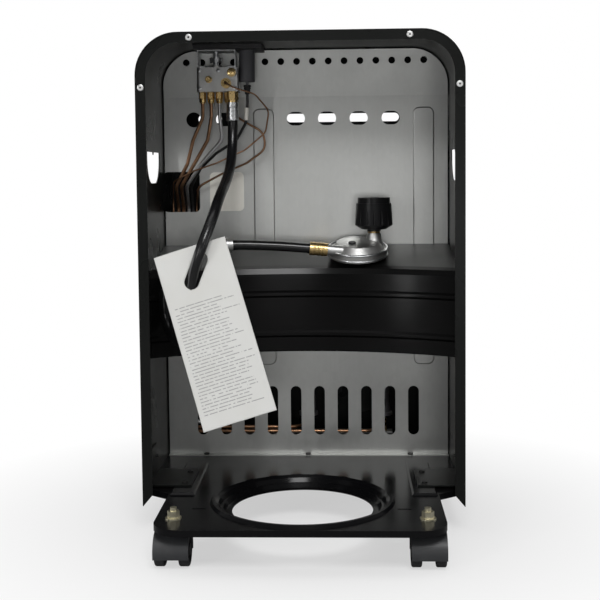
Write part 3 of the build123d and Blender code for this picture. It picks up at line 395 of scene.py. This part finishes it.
# %% [markdown]
# The hose is a real rubber hose of 14 mm, so it runs on one smooth curve. A mesh swept by hand could follow
# the same way, but a curve keeps its few control points and stays easy to change. They are the points of
# the solid's route in metres. A NURBS curve of order 3 passes near the solid's arcs, and a bevel makes it
# round. It leaves the brass fitting under the valve and ends in the ferrule at the regulator.

# %% Hose
hose_route = [
    (0.100, -0.072, 0.560), (0.100, -0.072, 0.524), (0.101, -0.048, 0.484), (0.104, -0.004, 0.460),
    (0.107, 0.044, 0.444), (0.112, 0.088, 0.416), (0.126, 0.108, 0.376), (0.139, 0.095, 0.338),
    (0.141, 0.092, 0.2805), (0.1548, 0.0682, 0.253), (0.1742, 0.0344, 0.253), (0.188, 0.011, 0.2805),
    (0.189, 0.012, 0.322), (0.168, -0.008, 0.350), (0.134, -0.033, 0.372), (0.098, -0.042, 0.374),
    (0.057, -0.048, 0.3725), (0.018, -0.051, 0.370), (-0.0197, -0.054, 0.3664)]
hose_diameter = 0.014
curve = bpy.data.curves.new("rubber_hose", "CURVE")
curve.dimensions = "3D"
spline = curve.splines.new("NURBS")
spline.points.add(len(hose_route) - 1)
for control, point in zip(spline.points, hose_route):
    control.co = (*point, 1.0)
spline.order_u = 3
spline.use_endpoint_u = True
spline.resolution_u = 16
curve.bevel_depth = hose_diameter / 2
curve.bevel_resolution = 8
curve.use_fill_caps = True
curve.materials.append(hose_rubber)
hose = in_scene("rubber_hose", curve)
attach(hose, "cabinet")
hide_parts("hose")
run = sum((Vector(b) - Vector(a)).length for a, b in zip(hose_route, hose_route[1:]))
print("hose runs add up to", round(run, 3), "m")

# %% [markdown]
# The paper tag hangs on the hose by a long slot. Its solid is a flat plate, but paper keeps a soft curl. A
# cloth simulation could give the curl and would not come out the same each time. So the tag is a fine grid
# in its own flat plane, with the faces inside the slot left out and the rim pulled on to the slot's true
# outline. The curl is a shallow bend across it, a faint ripple and a roll of the lower edge. The print is a
# pattern of generic grey rules, in rows with one ragged end, as a mask of the tag's own coordinates.

# %% Paper tag
tag_width, tag_length, slot_drop = 0.095, 0.230, 0.032
slot_length, slot_width, slot_turn = 0.050, 0.019, math.radians(127)
tag_place = Matrix.Translation((0.133, 0.097, 0.350)) @ turned(102, "X") @ turned(-17, "Z")
paper_thickness = 0.0003
bend, ripple, lower_roll = 1.5, 0.0015, 0.006


def slot_rim(x, y):
    """The nearest point of the slot's outline, and how far outside it the point lies."""
    along = Vector((math.cos(slot_turn), math.sin(slot_turn)))
    half = (slot_length - slot_width) / 2
    point = Vector((x, y))
    middle = along * max(-half, min(half, point.dot(along)))
    out = point - middle
    return middle + out.normalized() * slot_width / 2, out.length - slot_width / 2


def curl(x, y):
    """How far the paper stands off its flat plane."""
    drop = (slot_drop - y) / tag_length
    return bend * x * x + ripple * math.sin(9 * drop + 18 * x) * drop - lower_roll * drop ** 3


def tag_mesh(columns=48, rows=116, rim_reach=0.003):
    grid = bmesh.new()
    corners = []
    for row in range(rows + 1):
        y = slot_drop - row / rows * tag_length
        corners.append([grid.verts.new(((column / columns - 0.5) * tag_width, y, 0))
                        for column in range(columns + 1)])
    for above, below in zip(corners, corners[1:]):
        for column in range(columns):
            loop = (above[column], below[column], below[column + 1], above[column + 1])
            middle = sum((corner.co for corner in loop), Vector()) / 4
            if slot_rim(middle.x, middle.y)[1] > 0:
                grid.faces.new(loop).smooth = True
    bmesh.ops.delete(grid, geom=[v for v in grid.verts if not v.link_faces], context="VERTS")
    for vertex in grid.verts:
        rim, outside = slot_rim(vertex.co.x, vertex.co.y)
        if vertex.is_boundary and abs(outside) < rim_reach:
            vertex.co.xy = rim
        vertex.co.z = curl(vertex.co.x, vertex.co.y)
    data = bpy.data.meshes.new("paper_sheet")
    grid.to_mesh(data)
    grid.free()
    return data


def printed_paper(name, pitch=0.0042, first=-0.038, rows=34, margin=0.041, ragged=0.03):
    """Rows of grey rules. Pitch, first and margin are metres on the tag, and first is the top row."""
    made = Finish(name)
    x, y = made.along("X"), made.along("Y")
    line = (first - y) / pitch
    row = made.math_of("FLOOR", line)
    height = line - row
    chance = made.node("TexWhiteNoise", {"noise_dimensions": "1D"}, {"W": row})
    print_place = made.node("CombineXYZ", {}, {"X": x * 330.0, "Y": row * 7.3})
    words = made.node("TexNoise", {"noise_dimensions": "2D"},
                      {"Vector": print_place, "Scale": 1.0, "Detail": 0.0})
    rule = height.above(0.34) * height.below(0.62) * line.above(0.0) * line.below(rows)
    rule = rule * x.above(chance * ragged - margin) * x.below(margin) * words.above(0.36)
    fibres = made.noise(900.0, 3.0, 0.7)
    stain = made.noise(16.0, 3.0)
    blank = made.mix(made.ramp(stain, 0.4, 0.8) * 0.35, (0.62, 0.62, 0.60, 1), (0.52, 0.51, 0.47, 1))
    ink = rule * made.ramp(fibres, 0.2, 0.6, 0.45, 0.8)
    made.set(Base_Color=made.mix(ink, blank, (0.20, 0.20, 0.21, 1)))
    made.set(Roughness=made.ramp(fibres, 0.3, 0.7, 0.55, 0.7), Normal=made.bump(fibres, 0.00005))
    return made.material


tag = in_scene("curled_tag", tag_mesh())
tag.matrix_world = tag_place
tag.data.materials.append(printed_paper("printed_paper"))
thick = tag.modifiers.new("thickness", "SOLIDIFY")
thick.thickness = paper_thickness
thick.offset = 0.0
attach(tag, "cabinet")
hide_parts("paper_tag")
print("tag faces:", len(tag.data.polygons))

# %% [markdown]
# Turned parts, such as nuts, caps, rims and screw heads, are one outline carried round an axis. A Screw
# modifier would do that for one part at a time. The helper below makes rings of points from a list of
# (radius, height) pairs, at any number of places in one mesh, and with six steps it makes a hexagon nut.
# Edges sharper than thirty degrees stay crisp. A second helper makes boxes with broken edges.


# %% Turned parts and boxes
def add_piece(name, data, finish, body):
    made = in_scene(name, data)
    data.materials.append(finish)
    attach(made, body)
    return made


def aimed(place, direction):
    """A matrix that puts the Z axis at the place, along the direction."""
    return Matrix.Translation(place) @ Vector(direction).to_track_quat("Z", "Y").to_matrix().to_4x4()


def middle_of(node):
    low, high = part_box(node)
    return (Vector(low) + Vector(high)) / 2


def finish_mesh(name, shape, crisp=30.0):
    bmesh.ops.recalc_face_normals(shape, faces=shape.faces)
    for face in shape.faces:
        face.smooth = True
    for edge in shape.edges:
        if len(edge.link_faces) == 2 and edge.calc_face_angle() > math.radians(crisp):
            edge.smooth = False
    data = bpy.data.meshes.new(name)
    shape.to_mesh(data)
    shape.free()
    return data


def turned_mesh(name, outline, places, steps=40, hollow=False):
    """The outline round each place. A hollow one closes on itself, the other ends in two flat faces."""
    shape = bmesh.new()
    angles = [2 * math.pi * step / steps for step in range(steps)]
    for matrix in places:
        rings = []
        for radius, height in outline:
            circle = [Vector((radius * math.cos(angle), radius * math.sin(angle), height))
                      for angle in angles]
            rings.append([shape.verts.new(matrix @ point) for point in circle])
        pairs = list(zip(rings, rings[1:])) + ([(rings[-1], rings[0])] if hollow else [])
        for low, high in pairs:
            for step in range(steps):
                after = (step + 1) % steps
                shape.faces.new((low[step], low[after], high[after], high[step]))
        if not hollow:
            shape.faces.new(list(reversed(rings[0])))
            shape.faces.new(rings[-1])
    return finish_mesh(name, shape)


def box_mesh(name, boxes, bevel, places=(Matrix.Identity(4),)):
    """Boxes given as (low corner, high corner), with their edges broken."""
    shape = bmesh.new()
    for matrix in places:
        for low, high in boxes:
            size = Matrix.Diagonal((*(Vector(high) - Vector(low)), 1))
            middle = (Vector(high) + Vector(low)) / 2
            bmesh.ops.create_cube(shape, matrix=matrix @ Matrix.Translation(middle) @ size)
    if bevel:
        bmesh.ops.bevel(shape, geom=shape.edges[:], offset=bevel, segments=2, affect="EDGES")
    return finish_mesh(name, shape)


def turned_piece(name, outline, places, finish, steps=40, hollow=False):
    """A turned piece that belongs to the cabinet."""
    add_piece(name, turned_mesh(name, outline, places, steps, hollow), finish, "cabinet")


print("turning helpers ready")

# %% [markdown]
# The valve hangs from the bezel above. Its casting has raised pads, a test nipple, cover screws, a brass cap
# on the inlet and a hexagon nut on the safety magnet. Each small pipe is held by an olive nut. These details
# could be part of the solids, but they only serve the eye. Where the box of a solid gives a place, such as
# the face that a nut sits on, the place is read from it. The others are named, in metres.

# %% Valve details
rearward, upward, downward = (0, 1, 0), (0, 0, 1), (0, 0, -1)
valve_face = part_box("safety_magnet")[0][1]
union_radius, outlet_count = 0.0052, 4
unions_low, unions_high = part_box("outlet_unions")
outlet_pitch = (unions_high[0] - unions_low[0] - 2 * union_radius) / (outlet_count - 1)
outlets = [(unions_low[0] + union_radius + outlet_pitch * step, middle_of("outlet_unions").y, unions_low[2])
           for step in range(outlet_count)]
olive_nut = [(0.0030, 0.0), (0.0046, 0.0), (0.0048, 0.0010), (0.0048, 0.0034), (0.0036, 0.0066),
             (0.0030, 0.0066)]
turned_piece("olive_nuts", olive_nut, [aimed(outlet, downward) for outlet in outlets], brass,
             hollow=True)

cover_screws = [(0.0955, valve_face, 0.5925), (0.1460, valve_face, 0.5925),
                (0.1460, valve_face, 0.6175), (0.1195, valve_face, 0.6175)]
cover_screw_height = 0.0018
cover_screw = [(0.0029, 0.0), (0.0029, 0.0008), (0.0026, 0.0014), (0.0018, cover_screw_height)]
turned_piece("cover_screws", cover_screw, [aimed(place, rearward) for place in cover_screws], zinc_plate,
             24)


def pad(left, right, low, high, proud, root=0.001):
    """A raised pad of the casting. Its root is sunk into the valve's face."""
    return (left, valve_face - root, low), (right, valve_face + proud, high)


pads = [pad(0.1235, 0.1420, 0.5965, 0.6135, 0.0008), pad(0.0925, 0.1175, 0.6045, 0.6085, 0.0012)]
add_piece("cast_pads", box_mesh("cast_pads", pads, 0.0004), die_cast, "cabinet")
nipple = [(0.0050, 0.0), (0.0050, 0.0015), (0.0034, 0.0020), (0.0034, 0.0060), (0.0041, 0.0068),
          (0.0041, 0.0090), (0.0030, 0.0100)]
turned_piece("test_nipple", nipple, [aimed((0.1330, valve_face, 0.6050), rearward)], brass)
inlet_cap = [(0.0062, 0.0), (0.0062, 0.0016), (0.0044, 0.0022), (0.0044, 0.0030), (0.0020, 0.0036)]
cap_place = (middle_of("inlet_fitting").x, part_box("valve_body")[1][1], 0.614)
turned_piece("inlet_cap", inlet_cap, [aimed(cap_place, rearward)], brass)
magnet_nut = [(0.0048, 0.0), (0.0055, 0.0006), (0.0055, 0.0036), (0.0046, 0.0042)]
magnet = middle_of("safety_magnet")
magnet_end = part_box("safety_magnet")[1][1] - magnet_nut[-1][1]
turned_piece("magnet_nut", magnet_nut, [aimed((magnet.x, magnet_end, magnet.z), rearward)], brass, 6)
print("valve details:", outlet_count, "nuts,", len(cover_screws), "cover screws,", len(pads), "pads")

# %% [markdown]
# The igniter's lead ends in a ribbed rubber boot, and a woven glass sleeve guards it where it passes the
# pipes. The ribs are a sum over rings: the boot gets thinner, and every second ring stands out. Real weave
# would be hundreds of threads, so the sleeve's fine bump stands for it. Two dark screws hold the shield's
# top edge.

# %% Lead boot, woven sleeve and hanging screws
boot_rings, boot_rise = 9, 0.0016
boot = [(0.0052 - 0.0003 * ring + (0.0006 if ring % 2 else 0.0), boot_rise * ring)
        for ring in range(boot_rings)]
igniter = middle_of("igniter_body")
boot_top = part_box("igniter_body")[0][2] + 0.0025
turned_piece("lead_boot", boot, [aimed((igniter.x, igniter.y, boot_top), downward)], lead_rubber)
woven = [(0.0021, 0.0), (0.0033, 0.0), (0.0035, 0.0006), (0.0035, 0.0170), (0.0033, 0.0176), (0.0021, 0.0176)]
woven_place = aimed((0.0812, -0.0852, 0.5660), (0.0025, -0.002, -0.028))
turned_piece("woven_sleeve", woven, [woven_place], white_sleeve, 32, hollow=True)
sheet_thickness = 0.001
shield_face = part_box("heat_shield")[0][1] + sheet_thickness
hang_screws = [(0.0540, shield_face, 0.6465), (-0.1142, shield_face, 0.6465)]
hang_screw_height = 0.0021
hang_screw = [(0.0036, 0.0), (0.0036, 0.0010), (0.0031, 0.0017), (0.0020, hang_screw_height)]
turned_piece("hang_screws", hang_screw, [aimed(place, rearward) for place in hang_screws], black_oxide,
             24)
print("boot rings:", boot_rings, "hanging screws:", len(hang_screws))

# %% [markdown]
# Pan-head screws carry a cross recess, and blind rivets show the end of their steel pin. A recess could be
# cut into each head, but at this size a thin dark cross laid on it looks the same: painted shade of the
# recess. The rivet pins are drawn dark too, as painted shade of the hollow at the middle of each head. The
# places of the solids' own heads are not typed in: each screw or rivet is one loose part of its solid's
# mesh, a round pair of sides gives the axis, and the wide end is the head.


# %% Screw recesses
def loose_parts(data):
    """The vertices of each separate part of a mesh."""
    shape = bmesh.new()
    shape.from_mesh(data)
    bmesh.ops.remove_doubles(shape, verts=shape.verts, dist=0.00001)
    waiting, parts = set(shape.verts), []
    for first in shape.verts:
        if first not in waiting:
            continue
        waiting.remove(first)
        edge_on, part = [first], []
        while edge_on:
            vertex = edge_on.pop()
            part.append(vertex.co.copy())
            for edge in vertex.link_edges:
                other = edge.other_vert(vertex)
                if other in waiting:
                    waiting.remove(other)
                    edge_on.append(other)
        parts.append(part)
    shape.free()
    return parts


def apart(one, other, axes):
    """The distance between two points, measured across the given axes."""
    return sum((one[axis] - other[axis]) ** 2 for axis in axes) ** 0.5


def head_of(part, round_within=0.0004, end_within=0.0002):
    """The middle of a head and the way it faces, or None for a part that isn't round."""
    low = Vector([min(point[i] for point in part) for i in range(3)])
    high = Vector([max(point[i] for point in part) for i in range(3)])
    size, middle = high - low, (low + high) / 2
    best = None
    for axis in range(3):
        others = [i for i in range(3) if i != axis]
        if abs(size[others[0]] - size[others[1]]) > round_within:
            continue
        for end, way in ((low[axis], -1.0), (high[axis], 1.0)):
            reach = max(apart(point, middle, others) for point in part if abs(point[axis] - end) < end_within)
            if best is None or reach > best[0]:
                centre, facing = middle.copy(), Vector()
                centre[axis], facing[axis] = end, way
                best = (reach, centre, facing)
    return best


def heads_on(node_name):
    heads = [head_of(part) for part in loose_parts(nodes[node_name].data)]
    return [aimed(head[1], head[2]) for head in heads if head]


def on_top(places, height):
    return [aimed((x, y + height, z), rearward) for x, y, z in places]


recess_places = heads_on("cabinet_screws") + on_top(cover_screws, cover_screw_height)
recess_places += on_top(hang_screws, hang_screw_height)
reach, half, sunk = 0.0014, 0.0003, 0.0002
cross = [((-reach, -half, -sunk), (reach, half, 0.00008)), ((-half, -reach, -sunk), (half, reach, 0.00009))]
recess_shadow = paint("recess_shadow", (0.004, 0.004, 0.004), 0.7)
add_piece("screw_recesses", box_mesh("screw_recesses", cross, 0, recess_places), recess_shadow, "cabinet")
pin_and_shade = [(0.0013, -0.0004), (0.0013, 0.00008), (0.0008, 0.00010)]
rivet_places = heads_on("corner_rivets")
# The pins take the dark screw metal as painted shade of the hollow in each rivet's middle, over the pin's
# end.
turned_piece("rivet_pins_painted_shade", pin_and_shade, rivet_places, black_oxide, 20)
print("screw recesses:", len(recess_places), "rivet pins:", len(rivet_places))

# %% [markdown]
# The regulator is two pressed shells with a rolled rim on each, and a small breather cap. Its neck carries a
# brass ring and a black seal under the handwheel. A sculpted mesh could join all this, but separate turned
# rings are how the real pieces are made. They follow the solids' own axes: the regulator leans fourteen
# degrees, and the neck stands upright.

# %% Regulator details
regulator_centre, regulator_lean = (-0.0747, -0.078, 0.3632), -14
regulator_place = Matrix.Translation(regulator_centre) @ turned(regulator_lean, "X")
rim = [(0.0410, 0.0020), (0.0426, 0.0024), (0.0430, 0.0036), (0.0424, 0.0048), (0.0404, 0.0052),
       (0.0396, 0.0040)]
rim_drop = 0.0085
low_rim = [(radius, height - rim_drop) for radius, height in rim]
dome = [(0.0302, 0.0104), (0.0296, 0.0116), (0.0250, 0.0126), (0.0170, 0.0134), (0.0080, 0.0138)]
turned_piece("regulator_rims", rim, [regulator_place], zinc_plate, 72, hollow=True)
turned_piece("regulator_low_rim", low_rim, [regulator_place], zinc_plate, 72, hollow=True)
turned_piece("regulator_dome", dome, [regulator_place], die_cast, 72)
neck = aimed((-0.098, -0.088, 0.3632), upward)
boss = [(0.0135, 0.004), (0.0128, 0.009), (0.0112, 0.013), (0.0103, 0.020), (0.0100, 0.0232)]
turned_piece("neck_boss", boss, [neck], die_cast, 48)
ring = [(0.0062, 0.0236), (0.0086, 0.0236), (0.0088, 0.0256), (0.0062, 0.0258)]
turned_piece("neck_ring", ring, [neck], brass, 48, hollow=True)
seal = [(0.0062, 0.0260), (0.0094, 0.0261), (0.0096, 0.0280), (0.0062, 0.0284)]
turned_piece("neck_seal", seal, [neck], knob_plastic, 48, hollow=True)
breather = [(0.0052, 0.0), (0.0052, 0.0018), (0.0042, 0.0026), (0.0016, 0.0029)]
breather_place = regulator_place @ Matrix.Translation((0.008, 0.012, 0.0136))
turned_piece("breather_cap", breather, [breather_place], knob_plastic)
print("regulator rims, dome, neck and breather added")

# %% [markdown]
# Both ends of the hose are crimped into a metal sleeve, and the tool leaves ridges round it. A bump could
# draw them, but it would not change the sleeve's outline, so each ridge is a thin turned ring. One function
# spaces three of them along any direction.

# %% Crimped ferrules
crimp_pitch, tail_extra = 0.006, 0.0008


def crimps(middle, way):
    """Three ridges along a ferrule."""
    return [aimed(middle + way * step * crimp_pitch, way) for step in (-1, 0, 1)]


crimp = [(0.0084, -0.0012), (0.0089, -0.0006), (0.0089, 0.0006), (0.0084, 0.0012)]
tail_crimp = [(radius + tail_extra, height) for radius, height in crimp]
hose_start, hose_end = Vector(hose_route[0]), Vector(hose_route[-1])
tail_way = (hose_end - Vector(hose_route[-2])).normalized()
turned_piece("inlet_crimps", crimp, crimps(hose_start, Vector(upward)), zinc_plate, hollow=True)
turned_piece("tail_crimps", tail_crimp, crimps(hose_end, tail_way), brass, hollow=True)
print("ridges on two ferrules, a pitch of", crimp_pitch, "m")

# %% [markdown]
# Every twin wheel has a moulded hub cap at each end of its axle. The caps could be placed four times by
# hand, but each wheel node's own box gives both ends. The caps ride the wheels' body and turn with it.

# %% Caster caps
cap = [(0.0066, -0.0022), (0.0066, -0.0008), (0.0056, 0.0001), (0.0022, 0.0006)]
cap_seat = 0.0004
cap_count = 0
for body, held in frame["record"]["behaviour"]["bodies"].items():
    for node in held:
        if node.startswith("caster_wheels"):
            low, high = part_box(node)
            middle = middle_of(node)
            ends = [aimed((low[0] + cap_seat, middle.y, middle.z), (-1, 0, 0)),
                    aimed((high[0] - cap_seat, middle.y, middle.z), (1, 0, 0))]
            caps = turned_mesh("caps", cap, ends, 32)
            add_piece(node.replace("wheels", "caps"), caps, caster_plastic, body)
            cap_count += len(ends)
print("hub caps:", cap_count)

# %% [markdown]
# Round the knob the bezel has four raised marks, for off and for the three heat settings, and each setting
# has its number. The marks are one small box repeated by a turn about the knob's axis. The numbers are text
# curves with Blender's own font, because a drawn figure would need an outline of its own.

# %% Dial
knob_middle = middle_of("control_knob")
bezel_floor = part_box("knob_bezel")[0][2] + 0.002
mark_reach, number_reach = 0.0245, 0.0285
off_angle, setting_angles = 0, (-80, -160, -240)
dial_white = plastic("dial_white", (0.75, 0.75, 0.73), 0.45, scuff=0.1)


def on_dial(angle, reach, height=0.0):
    """A place on the bezel's floor, at an angle round the knob."""
    centre = Matrix.Translation((knob_middle.x, knob_middle.y, bezel_floor + height))
    return centre @ turned(angle, "Z") @ Matrix.Translation((0, -reach, 0))


marks = [on_dial(angle, mark_reach) for angle in (off_angle, *setting_angles)]
stroke = ((-0.0004, -0.0016, -0.0002), (0.0004, 0.0016, 0.0002))
add_piece("dial_marks", box_mesh("dial_marks", [stroke], 0, marks), dial_white, "cabinet")
for number, angle in enumerate(setting_angles, 1):
    figure = bpy.data.curves.new("dial_number", "FONT")
    figure.body = str(number)
    figure.size = 0.005
    figure.align_x = "CENTER"
    figure.extrude = 0.0001
    made = add_piece("dial_number_" + str(number), figure, dial_white, "cabinet")
    made.location = on_dial(angle, number_reach, figure.extrude).translation
    made.rotation_euler = (0, 0, math.pi)
print("dial marks:", len(marks), "numbers:", len(setting_angles))

# %% [markdown]
# The backdrop is the world itself. Light Path tells which rays come from the camera or pass through glass:
# those see plain white, while the light that falls on the heater stays at its own lower level. The floor is
# a pale plain plane that fades into the backdrop away from the casters. A pale floor would lie as a grey
# veil on everything black, so mirror rays see it darker. A ring of cards could do the same, and would
# have to be moved for every view.


# %% Backdrop and floor
class Sky(Finish):
    """The world's tree, filled by the same one method."""

    def __init__(self, world):
        world.use_nodes = True
        self.tree = world.node_tree


def add_world(level):
    world = bpy.data.worlds.new("studio")
    bpy.context.scene.world = world
    sky = Sky(world)
    camera_ray = sky.node("LightPath", out="Is Camera Ray")
    glass_ray = sky.node("LightPath", out="Is Transmission Ray")
    seen = camera_ray.math("MAXIMUM", camera_ray, glass_ray)
    back = sky.tree.nodes["Background"]
    sky.feed(back.inputs["Color"], (1, 1, 1, 1))
    sky.feed(back.inputs["Strength"], sky.ramp(seen, 0.0, 1.0, level, 1.0))


def add_floor(pale=0.86, mirrored=0.30, size=14.0, gap=0.0005):
    made = Finish("pale_floor")
    made.tree.nodes.remove(made.shader)
    diffuse = made.node("BsdfDiffuse", {}, {"Color": (pale, pale, pale, 1)})
    dim = made.node("BsdfDiffuse", {}, {"Color": (mirrored, mirrored, mirrored, 1)})
    glow = made.node("Emission", {}, {"Color": (1, 1, 1, 1), "Strength": 1.0})
    reach = made.node("VectorMath", {"operation": "LENGTH"}, {0: made.place()}, out="Value")
    fade = made.node("LightPath", out="Is Camera Ray") * made.ramp(reach, 0.22, 0.60, 0.55, 1.0)
    lit = made.node("MixShader", {}, {0: made.node("LightPath", out="Is Glossy Ray"), 1: diffuse, 2: dim})
    both = made.node("MixShader", {}, {0: fade, 1: lit, 2: glow})
    made.feed(made.output.inputs["Surface"], both)
    bpy.ops.mesh.primitive_plane_add(size=size, location=(0, 0, -gap))
    floor = bpy.context.object
    floor.name = "floor"
    floor.data.materials.append(made.material)


room_level = 0.22
add_world(room_level)
add_floor()
print("backdrop and floor ready, room level", room_level)

# %% [markdown]
# Eight soft lamps stand as in a small studio. The large one over the camera gives most of the light, and one
# above and one at the burner side fill the rest. A low one behind the camera makes the shield glow, two
# narrow upright ones are for bright lines on hose and ribs, and one at each side shows the side walls.
# A single sun would be simpler, but black paint is only seen by what it mirrors.


# %% Lamps
def lamp(name, place, target, size, watts):
    """A rectangular lamp. The places are metres, and size is its width and height."""
    data = bpy.data.lights.new(name, "AREA")
    data.shape = "RECTANGLE"
    data.size, data.size_y = size
    data.energy = watts
    made = in_scene(name, data)
    made.location = place
    made.rotation_euler = (Vector(target) - Vector(place)).to_track_quat("-Z", "Y").to_euler()


lamp("over_camera", (-0.25, 1.95, 1.95), (0, 0, 0.35), (0.9, 0.7), 30)
lamp("above", (0.2, 0.1, 2.4), (0, 0, 0.3), (1.6, 1.6), 8)
lamp("front_fill", (0.6, -2.4, 1.4), (0, 0, 0.35), (1.8, 1.4), 9)
lamp("shield_glow", (-0.15, 2.2, 0.32), (-0.03, -0.13, 0.38), (0.7, 0.3), 2.0)
lamp("left_edge", (1.25, 1.75, 0.6), (0.0, -0.13, 0.4), (0.10, 1.0), 7)
lamp("right_edge", (-1.35, 1.55, 0.6), (0.0, -0.13, 0.4), (0.12, 1.0), 2)
lamp("side_left", (1.9, -0.2, 0.30), (0.2, 0, 0.35), (1.3, 1.0), 9)
lamp("side_right", (-1.9, -0.2, 0.30), (-0.2, 0, 0.35), (1.3, 1.0), 9)
bpy.context.scene.view_settings.view_transform = "Standard"
